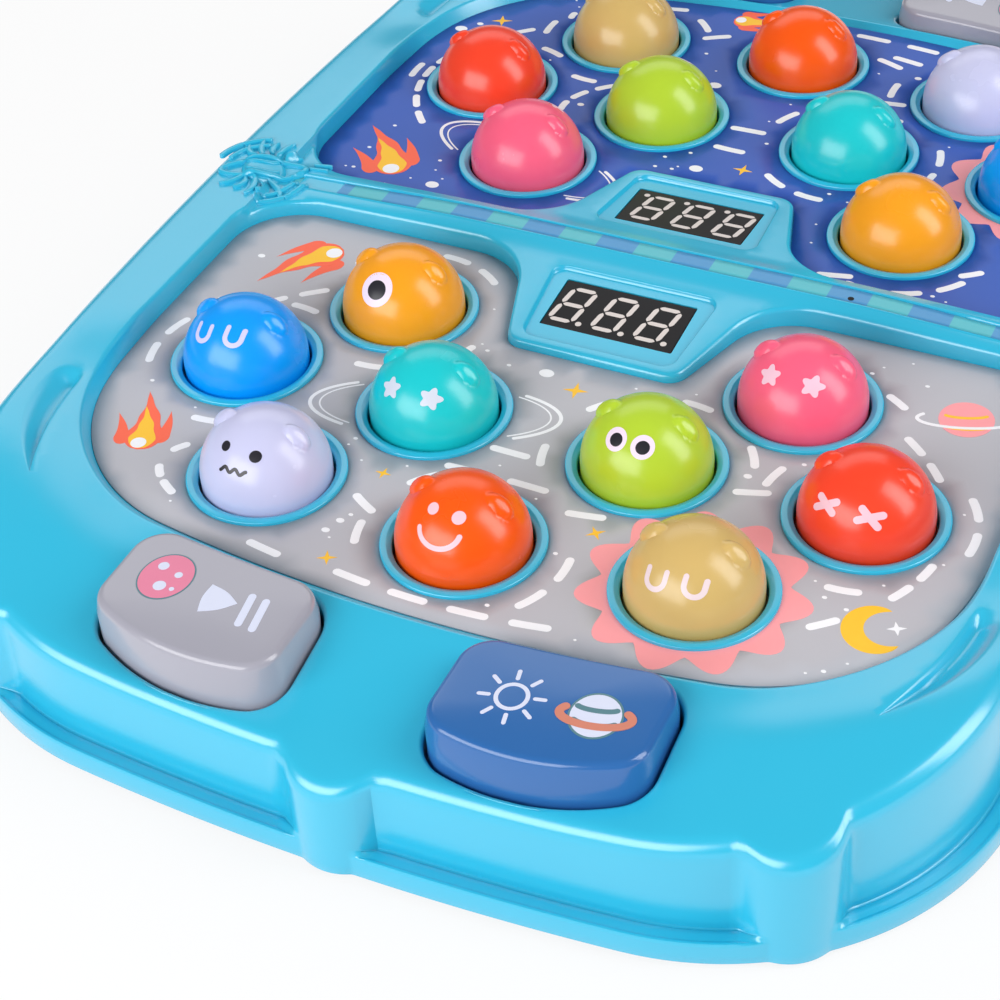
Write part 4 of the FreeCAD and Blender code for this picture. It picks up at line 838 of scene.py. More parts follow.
def face(kind):
    """The print of one colour of mole, simple signs for eyes and mouths, as shapes with their ink and
    their level."""
    if kind == "blue":
        return [(hook(-5.3, 5.8, 2.15, 4.3), 0, 0), (hook(3.8, 6.8, 2.15, 4.4), 0, 0)]
    if kind == "beige":
        return [(hook(-4.2, 2.9, 2.35, 4.5), 0, 0), (hook(5.0, 3.35, 2.3, 4.2), 0, 0)]
    if kind == "yellow":
        return round_eye(-0.9, 2.3, 4.7)
    if kind == "green":
        return round_eye(-3.4, 3.8, 3.0) + round_eye(3.6, 3.6, 3.0)
    if kind in ("turquoise", "pink"):
        lift = 2.4 if kind == "turquoise" else 4.0
        fat = patch(lambda angle: 2.35 + 0.55 * np.cos(5 * angle), 4, 60)
        return [(placed(fat, x, lift, turn), 0, 0) for x, turn in ((-5.4, 96), (5.8, 84))]
    if kind == "red":
        return cross(-5.9, 0.4, 2.7) + cross(4.9, 0.1, 2.9)
    if kind == "orange":
        eyes = [(placed(patch(1.45), -2.7, 6.3), 0, 0), (placed(patch(1.6), 4.1, 5.9), 0, 0)]
        return eyes + [(stroke(bow(0.5, 2.2, 5.2, 4.6, 190, 354), 0.62), 0, 0)]
    wave = np.linspace(-3.4, 3.5, 30)
    mouth = np.stack([wave, -1.0 + 0.55 * np.sin(wave * 2.2)], 1)
    eyes = [(placed(patch(1.3), -3.8, 4.3), 1, 0), (placed(patch(1.5), 4.7, 3.8), 1, 0)]
    return eyes + [(stroke(mouth, 0.45), 1, 0)]


def mole_rows(x, y, radius, ear):
    """A mole's shell as one closed lathe: down inside, out under the flange, and up outside to the pole.
    On the dome the distance from the centre grows by the ears: a rounded half ellipsoid, less a dimple
    that faces forwards."""
    columns, inner = 112, radius - MOLE_WALL
    up, tilt = quarter(14), quarter(56)
    azimuth = round_angles(columns)
    inside_dome = np.stack([inner * np.cos(up), MOLE_CENTRE + inner * np.sin(up)], 1)[::-1]
    skirt = np.array([
        (inner, FLANGE_LOW), (FLANGE_RADIUS - 0.2, FLANGE_LOW), (FLANGE_RADIUS, FLANGE_LOW + 0.2),
        (FLANGE_RADIUS, FLANGE_TOP - 0.2), (FLANGE_RADIUS - 0.2, FLANGE_TOP), (radius, FLANGE_TOP),
        (radius, 34.5), (radius, 38.2)])
    low = turned_ring(np.concatenate([inside_dome, skirt]), x, y, columns)
    ray = np.stack([np.cos(tilt)[:, None] * np.cos(azimuth), np.cos(tilt)[:, None] * np.sin(azimuth),
                    np.sin(tilt)[:, None] + 0 * azimuth], -1)
    swell = np.zeros(ray.shape[:2])
    for side in (-1, 1):
        facing = np.array([side * cos(EAR_TILT), -0.1, sin(EAR_TILT)])
        rise = np.array([-side * sin(EAR_TILT), 0, cos(EAR_TILT)])
        p, q = radius * (ray @ rise), radius * (ray @ np.array([0, 1, 0])) - 0.3
        front = np.where(ray @ facing > 0.5, 1.0, 0.0)
        ball = np.sqrt(np.maximum(1 - (p / EAR_HALF[0]) ** 2 - (q / EAR_HALF[1]) ** 2, 0))
        dimple = np.exp(-((p + 0.2) / DIMPLE_HALF[0]) ** 2 - ((q + 1.0) / DIMPLE_HALF[1]) ** 2)
        cap = ear * ball - 0.2
        swell += front * (np.logaddexp(0, cap / 0.12) * 0.12 - DIMPLE_DEPTH * dimple)
    dome = np.array([x, y, MOLE_CENTRE]) + ray * (radius + swell)[..., None]
    return np.concatenate([low, dome])


# Operators


class ToyOperator:
    bl_options = {"REGISTER", "UNDO"}


class BuildMoles(ToyOperator, bpy.types.Operator):
    """Makes the eighteen moles with their faces, stems and spokes"""
    bl_idname = "toy.moles"
    bl_label = "Moles"

    def execute(self, context):
        look = sizes("toy_moles")
        radius, ear = look.radius * 1000, look.ear * 1000
        dark = printed("dark_ink", look.dark, 0.3)
        for kind, (x, y) in MOLES.items():
            tint = getattr(look, kind)
            vinyl = moulded("vinyl_" + kind, tint, 0.26, spread=0.025, grain=0.000006, coat=0.15,
                            **{"Subsurface Weight": 0.12, "Subsurface Radius": (0.004, 0.004, 0.004),
                               "Subsurface Scale": 1.0, "Coat Roughness": 0.2})
            through = 0.0 if kind in ("yellow", "green") else 0.28
            pale = through * np.array(tint) + (1 - through) * np.array(look.pale)
            inks = [printed("pale_ink_" + kind, pale, 0.35), dark]
            skin = Skin()
            skin.grid(mole_rows(x, y, radius, ear))
            hub = [(0, STEM_BOTTOM), (STEM_RADIUS, STEM_BOTTOM), (STEM_RADIUS, FLANGE_LOW),
                   (HUB_RADIUS, FLANGE_LOW), (HUB_RADIUS, FLANGE_TOP), (0, FLANGE_TOP)]
            skin.grid(turned_ring(hub, x, y, 32))
            for turn in (45, 135, 225, 315):
                skin.grid(spoke(HUB_RADIUS - 1, radius - MOLE_WALL / 2, 1.5, turn) + [x, y, 0])
            for shape, ink, level in face(kind):
                lay(skin, shape, on_dome(x, y, radius), ink + 1, level)
            for side in ("near", "far"):
                node = "%s_mole_%s" % (side, kind)
                skin.build("shell_" + node, [vinyl] + inks, node, "mole_" + kind, [node], sharp=40)
                skin.far()
        return {"FINISHED"}


def spoke(start, end, half, turn):
    """A square bar from one radius to another, as rows round its long axis, closed at both ends."""
    corners = np.array([(-half, FLANGE_LOW), (half, FLANGE_LOW), (half, FLANGE_TOP), (-half, FLANGE_TOP)])
    middle = corners.mean(0)
    rows = []
    for along, size in ((start, 0.0), (start, 1.0), (end, 1.0), (end, 0.0)):
        ring = middle + (corners - middle) * size
        rows.append(np.column_stack([np.full(4, along), ring[:, 0], ring[:, 1]]))
    c, s = cos(radians(turn)), sin(radians(turn))
    return np.array(rows) @ np.array([[c, s, 0], [-s, c, 0], [0, 0, 1]])


def casing_walls(skin, look):
    """The rim, its ledge with bead and groove, the wall with the posts, and the rounded top edge.
    Posts come from the first place where a ray inwards meets their circle."""
    points, normals = rim_outline()
    from_post = points[:, None] - post_places()
    toward = (normals[:, None] * from_post).sum(2)
    reach = toward ** 2 - (from_post ** 2).sum(2) + POST_RADIUS ** 2
    post = np.where(reach > 0, toward - np.sqrt(np.maximum(reach, 0)), 30.0).min(1)
    wall, rim = soft_min(WALL_INSET, post, 0.15), soft_min(0, post, 0.12)
    ledge = wall - rim
    full = ledge / WALL_INSET
    bead = look.bead * 1000
    offsets = [rim + WALL, rim + WALL, rim + 0.4, rim + 0.1, rim, rim, rim, rim + 0.05 * full]
    heights = [6.5, RIM_BOTTOM, RIM_BOTTOM, 1.6, 1.9, 4.5, 7.0, 7.5]
    for u, z in LEDGE_PROFILE:
        offsets.append(rim + ledge * u / WALL_INSET)
        heights.append(LEDGE + z * bead * full + (1 - full) * u / WALL_INSET * 2.4)
    edge = look.edge * 1000 + normals[:, 0] ** 2
    foot, inner = LEDGE + 0.3 + 2.2 * (1 - full), points - normals * (wall + edge)[:, None]
    brow = casing_height(inner[:, 0], inner[:, 1]) - edge
    for up in (0.02, 0.3, 0.6, 0.9):
        offsets.append(wall)
        heights.append(foot + (brow - foot) * up)
    for angle in quarter(8):
        offset = wall + edge * (1 - cos(angle))
        plan = points - normals * offset[:, None]
        offsets.append(offset)
        heights.append(casing_height(plan[:, 0], plan[:, 1]) - edge * (1 - sin(angle)))
    rows = raised((points, normals), [-o for o in offsets], heights)
    skin.grid(rows)
    return rows[-1, :, :2]


def foot_inset(points):
    """How far the foot of a panel's wall stands in from its lip: more at the corners and the near end."""
    return FOOT_INSET + FOOT_MORE * smooth((-points[:, 1] - FOOT_START) / FOOT_RUN)


def lip_band(skin, outline, edge):
    """Rounded lip and slanted wall of one panel, down to its foot."""
    points, normals = outline
    inset = foot_inset(points)
    lip_height = casing_height(points[:, 0], points[:, 1])
    lean = np.arctan2(inset, lip_height - PANEL)
    offsets, heights = [], []
    for part in np.linspace(0, 1, 8):
        angle = part * (QUARTER - lean)
        plan = edge * (1 - np.sin(angle))
        offsets.append(plan)
        at = points + normals * plan[:, None]
        heights.append(casing_height(at[:, 0], at[:, 1]) - edge * (1 - np.cos(angle)))
    start_offset, start_height = offsets[-1], heights[-1]
    for part in (0.2, 0.5, 0.8, 1.0):
        offsets.append(start_offset + (-inset - start_offset) * part)
        heights.append(start_height + (PANEL_FLOOR - start_height) * part)
    rows = raised(outline, offsets, heights)
    skin.grid(rows)
    return rows[0, :, :2], rows[-1, :, :2]


def circle(x, y, radius, count=72):
    angle = round_angles(count)
    return np.stack([x + radius * np.cos(angle), y + radius * np.sin(angle)], 1)


def flat(points, height):
    return np.column_stack([points, np.full(len(points), height)])


def grip_hollow(skin, sign):
    """A crescent hollow in the side frame: across it the floor drops steeply and then rises gently, and
    it fades out at the crescent's blunt end. Returns its outline."""
    count, across = 46, 16
    inner, outer = curve_through(GRIP_INNER, count), curve_through(GRIP_OUTER, count)
    v = smooth(np.linspace(0, 1, across) * 0.5) + smooth(0.5 + np.linspace(0, 1, across) * 0.5) - 0.5
    v = (v - v[0]) / (v[-1] - v[0])
    plan = inner[:, None] + v[:, None] * (outer - inner)[:, None]
    wide = np.linalg.norm(outer - inner, axis=1)
    profile = np.where(v < 0.3, smooth(v / 0.3), 1 - smooth((v - 0.3) / 0.7) ** 0.8)
    along = smooth(np.linspace(0, 1, count) / 0.14)
    depth = (np.minimum(GRIP_DEPTH, 0.42 * wide) * along)[:, None] * profile
    top = casing_height(plan[..., 0], plan[..., 1])
    rows = np.concatenate([plan, (top - depth)[..., None]], -1)
    loop = np.concatenate([inner[:-1], plan[-1, :1], outer[::-1][1:], plan[0, 1:-1][::-1]])
    if sign < 0:
        rows = rows * [-1, 1, 1]
        loop = loop * [-1, 1]
        rows = rows[::-1]
    skin.grid(rows.transpose(1, 0, 2), False)
    return loop


class BuildCasing(ToyOperator, bpy.types.Operator):
    """Makes the casing: rim, walls, posts, frames, bar, lobes, lips, button holes, dishes and grips"""
    bl_idname = "toy.casing"
    bl_label = "Casing"

    def execute(self, context):
        look = sizes("toy_casing")
        near, holes = Skin(), []
        lip, foot = lip_band(near, panel_outline(), look.lip * 1000)
        holes.append(lip)
        floor = filled(foot, [circle(x, y, COLLAR_OUTER - 0.4) for x, y in MOLES.values()], 7.0)
        near.add(flat(floor[0], PANEL_FLOOR), floor[1])
        right, window = button_outline(), window_outline()
        for outline in (right, mirrored(right)):
            rows = raised(outline, *rolled(HOLE_EDGE, 5, [0, 0], (4.0, 8.5)))
            near.grid(rows)
            holes.append(rows[0, :, :2])

        rows = raised(dish_outline(), *rolled(DISH_EDGE, 4, [-0.25, -0.4], (DISH_DEPTH - 0.15, DISH_DEPTH)))
        near.grid(rows)
        holes.append(rows[0, :, :2])
        floor = filled(rows[-1, :, :2], [window[0]], 4.0)
        near.add(np.column_stack([floor[0], under(DISH_DEPTH)(*floor[0].T)]), floor[1])
        near.grid(raised(window, [0, 0], [under(DISH_DEPTH), under(DISH_DEPTH + 2.5)]))
        for sign in (1, -1):
            holes.append(grip_hollow(near, sign))
        near.turned()
        outer = casing_walls(near, look)
        holes += [half_turn(loop) for loop in holes]
        lines = [round_strip(distance) for distance in (*RIDGE_AT, 5.6)]
        lines += [step_line(BAR_END + part, side_x, side_y, look.lip * 1000)
                  for part in (0, 0.25, 0.5, 0.75, 1) for side_x in (-1, 1) for side_y in (-1, 1)]

        def lined(p):
            """Places so near to a line that the net's staggered grid keeps off them."""
            ax, ay = np.abs(p[:, 0]), np.abs(p[:, 1])
            strip = np.hypot(np.maximum(ax - STRIP_END + STRIP_HALF, 0), ay) < 6.6
            return strip | ((np.abs(ax - BAR_END - 0.5) < 1.4) & (ay > 5) & (ay < 20))

        top = filled(outer, holes, 2.6, lines, lined)
        near.add(np.column_stack([top[0], casing_height(*top[0].T)]), top[1])
        plastic = moulded("casing_plastic", look.paint, look.gloss, spread=0.035, coat=0.4,
                          **{"Specular IOR Level": 0.9, "Coat Roughness": 0.24})
        near.build("casing", [plastic], "casing", "casing", ["top_shell"], 1.2)

        rings, top, edge = Skin(), PANEL + look.collar * 1000, 0.35
        outside = [(COLLAR_OUTER - edge * (1 - cos(a)), top - edge * (1 - sin(a))) for a in quarter(4)]
        slope = [(COLLAR_INNER + run, top + rise) for run, rise in COLLAR_SLOPE]
        foot = (COLLAR_OUTER, PANEL - 1.0)
        sleeve = [(COLLAR_INNER, SLEEVE_LOW), (COLLAR_INNER + 1.2, SLEEVE_LOW),
                  (COLLAR_OUTER - 1.0, PANEL - 1.0)]
        for x, y in MOLES.values():
            rings.grid(turned_ring([foot] + outside + slope + sleeve + [foot], x, y, 84))
        rings.turned().build("collars", [plastic], "casing", "casing")
        return {"FINISHED"}


class BuildPanels(ToyOperator, bpy.types.Operator):
    """Makes the two printed sheets, their prints, and the checker strip"""
    bl_idname = "toy.panels"
    bl_label = "Panels"

    def execute(self, context):
        look = sizes("toy_panels")
        points, normals = panel_outline()
        foot = points - normals * (foot_inset(points) + 0.02)[:, None]
        plan, faces = filled(foot, [circle(x, y, COLLAR_OUTER + 0.02) for x, y in MOLES.values()], 6.0)
        inks = [printed("print_" + name, getattr(look, name), 0.5)
                for name in ("chalk", "flame", "sun", "rose")]
        for side, ground in (("near", look.near), ("far", look.far)):
            skin, prints = Skin(), Skin()
            skin.add(flat(plan, PANEL), faces)
            for shape, ink, level in motifs(side):
                lay(prints, shape, on_plane(PANEL), ink, level, 0.04)
            if side == "far":
                skin.far()
                prints.far()
            sheet = moulded("sheet_%s_film" % side, ground, 0.42, grain=0.000008)
            skin.build(side + "_sheet", [sheet], "casing", "sheet_" + side, [side + "_panel_sheet"], 0.5)
            prints.build(side + "_prints", inks, "casing", "sheet_" + side, sharp=35)

        checker = bpy.data.materials.new("checker")
        tree = Tree(checker)
        axis = tree.node("SeparateXYZ", {0: tree.place()})
        cell = axis / (STRIP_CELL / 1000) * 0.5 + 0.25
        wave = tree.node("Math", {0: cell}, operation="FRACT")
        mottle = tree.noise(300.0) * 0.12
        tint = tree.blend(wave > 0.5, look.teal, look.sky)
        tree.finish(tree.node("BsdfPrincipled", {"Base Color": tint, "Roughness": mottle + 0.3}))
        reach = STRIP_END - STRIP_HALF
        plan = stroke(straight((-reach, 0), (reach, 0), 90), STRIP_HALF)[0][:, 1:-1]
        strip = Skin()
        strip.grid(on_bar(plan[..., 0], plan[..., 1], 0), False)
        strip.build("checker_strip", [checker], "casing", "strip", ["centre_strip"], 0.3)
        return {"FINISHED"}


def flame(size, wide, waves=3):
    """A comet's tail that points along -X: its half width grows in waves from the tip and closes round
    the head, on a path that bends like a sine."""
    t = np.linspace(0, 1, 56)
    path = np.stack([size * (t - 1), 0.06 * size * np.sin(pi * t)], 1)

    def half(t):
        swell = np.minimum(t / 0.78, 1) ** 1.2 * (1 + 0.2 * np.sin(TURN * waves * t) * (1 - t))
        return swell * np.sqrt(np.maximum(1 - (np.maximum(t - 0.78, 0) / 0.22) ** 2, 0))

    return stroke(path, wide, half, across=4)


def comet(size):
    """Three flames, one in another, with two short wisps and a pale head."""
    wisps = [(placed(flame(0.55 * size, 0.09 * size, 1), -0.1 * size, side * 0.2 * size, side * -9), 1, 0)
             for side in (-1, 1)]
    inner = placed(flame(0.72 * size, 0.145 * size), -0.02 * size, 0)
    return wisps + [(flame(size, 0.21 * size), 1, 1), (inner, 2, 2),
                    (placed(patch(0.085 * size), -0.11 * size, 0), 0, 3)]


def planet(size):
    """A ball with two curved bands and a ring whose back part the ball hides."""
    thin = 0.07 * size
    bands = [(stroke(bow(0, lift * size, 0.8 * size, 0.22 * size, 205, 335), thin), 2, 1)
             for lift in (0.3, -0.35)]
    ring = stroke(bow(0, 0, 1.75 * size, 0.5 * size, 151, 389, 60), thin)
    return [(patch(size), 3, 0)] + bands + [(ring, 0, 2)]


def moon(size):
    """A crescent: a ribbon along part of a circle whose width follows a sine."""
    crescent = stroke(bow(0, 0, size, size, 60, 300, 40), 0.4 * size, lambda t: np.sin(pi * t) ** 0.8)
    return [(crescent, 2, 0), (placed(star(0.36 * size, 0.12 * size, 4), 0.55 * size, 0), 0, 0)]


def spark(size):
    return [(star(size, 0.28 * size, 4), 2, 0)]


def burst(size):
    """A spiky ring round a collar, with rounded notches between its points."""
    def edge(angle):
        return COLLAR_OUTER + 2.0 + (size - COLLAR_OUTER - 2.0) * np.abs(np.cos(5.5 * angle)) ** 1.4

    return [(patch(edge, 3, 154, COLLAR_OUTER - 0.1), 3, 0)]


def halo(size):
    """A flat ring seen from the side, whose ends show left and right of a mole's collar."""
    return [(stroke(bow(0, 0, reach, 0.36 * reach, start, start + 94, 30), half), 0, 0)
            for reach, half in ((size, 0.5), (size - 2.6, 0.22)) for start in (-47, 133)]


# What each sheet's sky holds: a kind, its place, its size, its turn, and the room that it needs
SKIES = {
    "near": ((comet, -86, -21, 27, 55, 0), (planet, 97, -31, 7.0, 18, 13), (comet, -93, -119, 24, -66, 0),
             (moon, 101, -111, 6.5, 25, 8), (spark, 1, -56, 3.4, 10, 5), (spark, -28, -137, 2.6, 25, 4),
             (spark, -30, -104, 2.2, 0, 4), (spark, 28, -105, 2.6, 40, 4),
             (burst, *MOLES["beige"], 28.0, 8, 0),
             (halo, *MOLES["turquoise"], 33.0, 14, 0)),
    "far": ((comet, 91, -19, 29, 130, 0), (planet, -98, -30, 6.5, -24, 12), (comet, 30, -139, 20, 12, 0),
            (moon, -101, -110, 7.0, 150, 8), (spark, -4, -57, 3.0, 0, 5), (spark, 100, -113, 3.4, 20, 5),
            (spark, 30, -103, 2.4, 30, 4), (burst, *MOLES["blue"], 27.0, 20, 0),
            (halo, *MOLES["pink"], 33.0, -16, 0)),
}

# Dashed orbits: place and half sizes of each, and the moles that have a dashed ring
ORBITS = {
    "near": (((0, -80, 106, 62), (0, -62, 75, 40), (-3, -119, 82, 24), (2, -94, 46, 30), (0, -49, 92, 36)),
             ("blue", "green", "orange", "yellow", "red")),
    "far": (((4, -76, 104, 60), (-6, -72, 66, 30), (2, -124, 78, 19), (0, -100, 50, 34), (-2, -45, 88, 33)),
            ("red", "turquoise", "lilac", "beige", "yellow")),
}


def motifs(side):
    """A plain sky of this part's own: dashed orbits, dots, comets, ringed planets, a moon and stars, as
    shapes with their ink, 0 white, 1 orange, 2 yellow or 3 pink, and their level."""
    shapes, taken = [], [(x, y, COLLAR_OUTER) for x, y in MOLES.values()]
    lip = panel_outline()
    edge = lip[0] - lip[1] * 4.5
    for kind, x, y, size, turn, room in SKIES[side]:
        for shape, ink, level in kind(size):
            shapes.append((placed(shape, x, y, turn), ink, level))
            if not room:
                spots = shapes[-1][0][0].reshape(-1, 2)
                taken += [(*spot, 1.6) for spot in spots[::3]]
        if room:
            taken.append((x, y, room))

    def free(points, room):
        spots = np.array(taken)
        away = np.linalg.norm(points[:, None] - spots[:, :2], axis=2) - spots[:, 2]
        return away.min() > room and bool(inside(points, edge).all())

    orbits, rings = ORBITS[side]
    for x, y, rx, ry in orbits + tuple((*MOLES[kind], RING_RADIUS, RING_RADIUS) for kind in rings):
        around = TURN * sqrt((rx ** 2 + ry ** 2) / 2)
        count, half = int(around / DASH_PITCH), 360 * DASH_REACH / around
        for k in range(count):
            dash = bow(x, y, rx, ry, 360 * k / count - half, 360 * k / count + half, 5)
            if free(dash, 1.7):
                shapes.append((stroke(dash, DASH_RADIUS, across=2), 0, 0))
                taken += [(*spot, 1.3) for spot in dash]
    rng = np.random.default_rng(11 if side == "near" else 23)
    for size, count in ((1.8, 30), (0.95, 60), (0.55, 110), (0.34, 170)):
        for x, y in rng.uniform((-112, -146), (112, -10), (count, 2)):
            if free(np.array([[x, y]]), 1.1 + size):
                shapes.append((placed(patch(size, 1, 16), x, y, 0, (1.15, 0.9)), 0, 0))
                taken.append((x, y, size))
    return shapes


class BuildButtons(ToyOperator, bpy.types.Operator):
    """Makes the four end buttons with their icons"""
    bl_idname = "toy.buttons"
    bl_label = "Buttons"

    def execute(self, context):
        look = sizes("toy_buttons")
        edge, crown, top = look.edge * 1000, look.crown * 1000, PANEL + look.rise * 1000
        right = button_outline()
        inks = [printed("button_" + name, tint, 0.4) for name, tint in (
            ("ink", look.chalk), ("rose", look.rose), ("moss", look.moss), ("clay", look.clay))]

        def height(y):
            return top + BUTTON_FALL * (y + BUTTON_BACK)

        caps = (("mode", look.navy, right, 1), ("start", look.grey, mirrored(right), -1))
        for name, tint, outline, sign in caps:
            plastic = moulded("button_" + name, tint, 0.2, grain=0.000008, coat=0.4)
            middle = np.array([sign * sum(BUTTON_SIDES) / 2, -(BUTTON_BACK + BUTTON_FRONT) / 2])
            roof = height(-BUTTON_FRONT) - BUTTON_WALL
            rows, border = button_rows(outline, middle, roof, height, edge, crown)
            skin = Skin()
            skin.grid(rows)
            stem = [(0, BUTTON_STEM), (STEM_RADIUS, BUTTON_STEM), (STEM_RADIUS, roof + 0.5), (0, roof + 0.5)]
            skin.grid(turned_ring(stem, *middle, 32))
            inner, outer = SEAT_RADII
            seat = [(inner, BUTTON_LOW), (outer, BUTTON_LOW), (outer, roof + 0.5), (inner, roof + 0.5),
                    (inner, BUTTON_LOW)]
            for offset in SPRING_SEATS:
                skin.grid(turned_ring(seat, middle[0] + offset, middle[1], 40))
            bearing = np.arctan2(border[:, 1] - middle[1], border[:, 0] - middle[0])
            order = np.argsort(bearing)
            reach = np.hypot(border[:, 0] - middle[0], border[:, 1] - middle[1])

            def on_button(x, y, lift):
                """Height of the crowned top at a plan place, from the share of the way to the edge, which
                is read off the border at the place's bearing."""
                at = np.arctan2(y - middle[1], x - middle[0])
                share_out = np.hypot(x - middle[0], y - middle[1]) / np.interp(
                    at, bearing[order], reach[order], period=TURN)
                return np.stack([x, y, height(y) + crown * np.maximum(1 - share_out ** 2, 0) + lift], -1)

            for shape, colour_of, level in icons(name):
                lay(skin, shape, on_button, 1 + colour_of, level)
            for side in ("near", "far"):
                node = "%s_%s_button" % (side, name)
                slot = "button_navy" if name == "mode" else "button_grey"
                skin.build("cap_" + node, [plastic] + inks, node, slot, [node])
                skin.far()
        return {"FINISHED"}


def button_rows(outline, middle, roof, height, edge, crown):
    """A button as one closed profile carried round its outline: from the middle of the hollow's roof down
    inside, round the flange, up the wall, over a quarter circle, and over the top, whose height grows by
    the crown times 1 less the square of the share of the way to the edge. Also returns the top's border."""
    points, normals = outline
    rows = []
    for part in (0.0, 0.5, 1.0):
        rows.append(flat(middle + part * (points - normals * (BUTTON_GAP + BUTTON_WALL) - middle), roof))
    for inset, z in ((3.0, BUTTON_LOW), (-0.6, BUTTON_LOW), (-0.6, BUTTON_FLANGE),
                     (BUTTON_GAP, BUTTON_FLANGE)):
        rows.append(flat(points - normals * inset, z))
    rows.append(np.column_stack([points - normals * BUTTON_GAP, height(points[:, 1]) - edge - 2.5]))
    for angle in quarter(8):
        ring = points - normals * (BUTTON_GAP + BUTTON_DRAFT + edge * (1 - cos(angle)))
        rows.append(np.column_stack([ring, height(ring[:, 1]) - edge * (1 - sin(angle))]))
    border = rows[-1][:, :2]
    for part in np.linspace(1, 0, 13)[1:]:
        ring = middle + part * (border - middle)
        rows.append(np.column_stack([ring, height(ring[:, 1]) + crown * (1 - part ** 2)]))
    return np.array(rows), border


def icons(name):
    """Plain signs, as shapes with their ink, 0 pale, 1 pink, 2 grey-green or 3 orange, and their level:
    a moon with craters, a triangle and two bars on one button, a sun and a ringed planet on the other."""
    if name == "start":
        x, y = MOON
        disc = [(placed(patch(6.8, 3), x, y, 0, (1, 1.16)), 2, 0),
                (placed(patch(6.45), x, y, 0, (1, 1.16)), 1, 1)]
        pits = ((-2.4, 2.9, 1.35), (2.6, 1.4, 1.0), (0.2, -3.3, 1.6), (3.5, -3.3, 0.65))
        craters = [(placed(patch(size, 2, 24), x + dx, y + dy), 0, 2) for dx, dy, size in pits]
        bars = [(stroke(straight((x, y), (x + 1.35, y - 8.9)), 0.95), 0, 0) for x, y in PAUSE_BARS]
        third = TURN / 3
        corner = patch(lambda angle: 3.4 / np.cos(angle % third - third / 2) ** 0.66, 4, 96)
        return disc + craters + bars + [(placed(corner, *TRIANGLE, 8), 0, 0)]
    x, y = SUN
    sun = [(stroke(bow(x, y, 3.5, 3.7, 0, 360, 48), 0.5, ends=False), 0, 0)]
    for turn in range(12, 372, 45):
        c, s = cos(radians(turn)), 1.06 * sin(radians(turn))
        ray = straight((x + 5.2 * c, y + 5.2 * s), (x + 7.4 * c, y + 7.4 * s))
        sun.append((stroke(ray, 0.5, across=2), 0, 0))
    x, y = GLOBE
    ball = [(placed(patch(6.1), x, y, 0, (1, 1.12)), 2, 0), (placed(patch(5.6), x, y, 0, (1, 1.12)), 0, 1)]
    bands = ((bow(0, 2.6, 4.6, 1.2, 200, 340), 0.7, 2, 2), (bow(0, -1.6, 4.8, 1.5, 200, 340), 0.9, 2, 2),
             (bow(0, 0, 8.0, 3.2, 150, 390, 60), 1.0, 3, 3))
    return sun + ball + [(placed(stroke(path, half), x, y, 12), ink, level)
                         for path, half, ink, level in bands]


class BuildDisplays(ToyOperator, bpy.types.Operator):
    """Makes the two displays with their slanted digits"""
    bl_idname = "toy.displays"
    bl_label = "Displays"

    def execute(self, context):
        look = sizes("toy_displays")
        x, y = DISPLAY_SIZE[0] / 2, DISPLAY_SIZE[1] / 2
        outline = rounded_polygon([(-x, -y), (x, -y), (x, y), (-x, y)], 0.4, 0.2)
        plan = outline[0]
        rows = [flat(plan * 0, -DISPLAY_THICK), flat(plan, -DISPLAY_THICK), flat(plan, -0.25),
                flat(plan - outline[1] * 0.25, 0), flat(plan * 0, 0)]
        tilt = radians(LOBE_SLOPE)
        c, s = cos(tilt), sin(tilt)

        def on_display(x, y, lift):
            """A place on the tilted face, in the display's own axes."""
            return np.stack([x + 0 * lift, -DISPLAY_PLACE + y * c - lift * s,
                             PANEL + DISPLAY_RISE + y * s + lift * c], -1)

        skin = Skin()
        block = np.array(rows)
        skin.grid(on_display(block[..., 0], block[..., 1], block[..., 2]))
        for shape in digits(look.height * 1000, look.stroke * 1000):
            lay(skin, shape, on_display, 1, LONE_PRINT)
        resin = moulded("display_face", look.face, 0.4, spread=0.05, grain=0.000006,
                        **{"Specular IOR Level": 0.25})
        segment = printed("display_segment", look.digit, 0.35)
        skin.turned().build("display_blocks", [resin, segment], "casing", "display", ["displays"],
                            sharp=35)
        return {"FINISHED"}


def digits(tall, width):
    """Three slanted digits, each of seven pointed segments and a round point."""
    wide, half = tall * 0.5, tall / 2
    ends = {"top": ((0, 1), (1, 1)), "mid": ((0, 0), (1, 0)), "low": ((0, -1), (1, -1)),
            "tl": ((0, 0), (0, 1)), "tr": ((1, 0), (1, 1)), "bl": ((0, -1), (0, 0)), "br": ((1, -1), (1, 0))}
    shapes = []
    for middle in (-DIGIT_PITCH, 0.0, DIGIT_PITCH):
        for a, b in ends.values():
            a, b = (np.array([(p[0] - 0.5) * wide, p[1] * half]) for p in (a, b))
            along = (b - a) / np.linalg.norm(b - a)
            a, b = a + along * SEGMENT_GAP, b - along * SEGMENT_GAP
            reach = np.linalg.norm(b - a)
            plan, lift, wrap = stroke(straight(a, b, 12), width / 2, lambda t: np.minimum(
                1, np.minimum(t, 1 - t) * 2 * reach / width), across=2)
            plan = plan + [middle - 1.0, 0]
            plan = plan + np.stack([plan[..., 1] * DIGIT_LEAN, 0 * plan[..., 1]], -1)
            shapes.append((plan, lift, wrap))
        shapes.append(placed(patch(width * 0.62, 1, 20), middle + wide / 2 + 0.1, -half - 0.1))
    return shapes


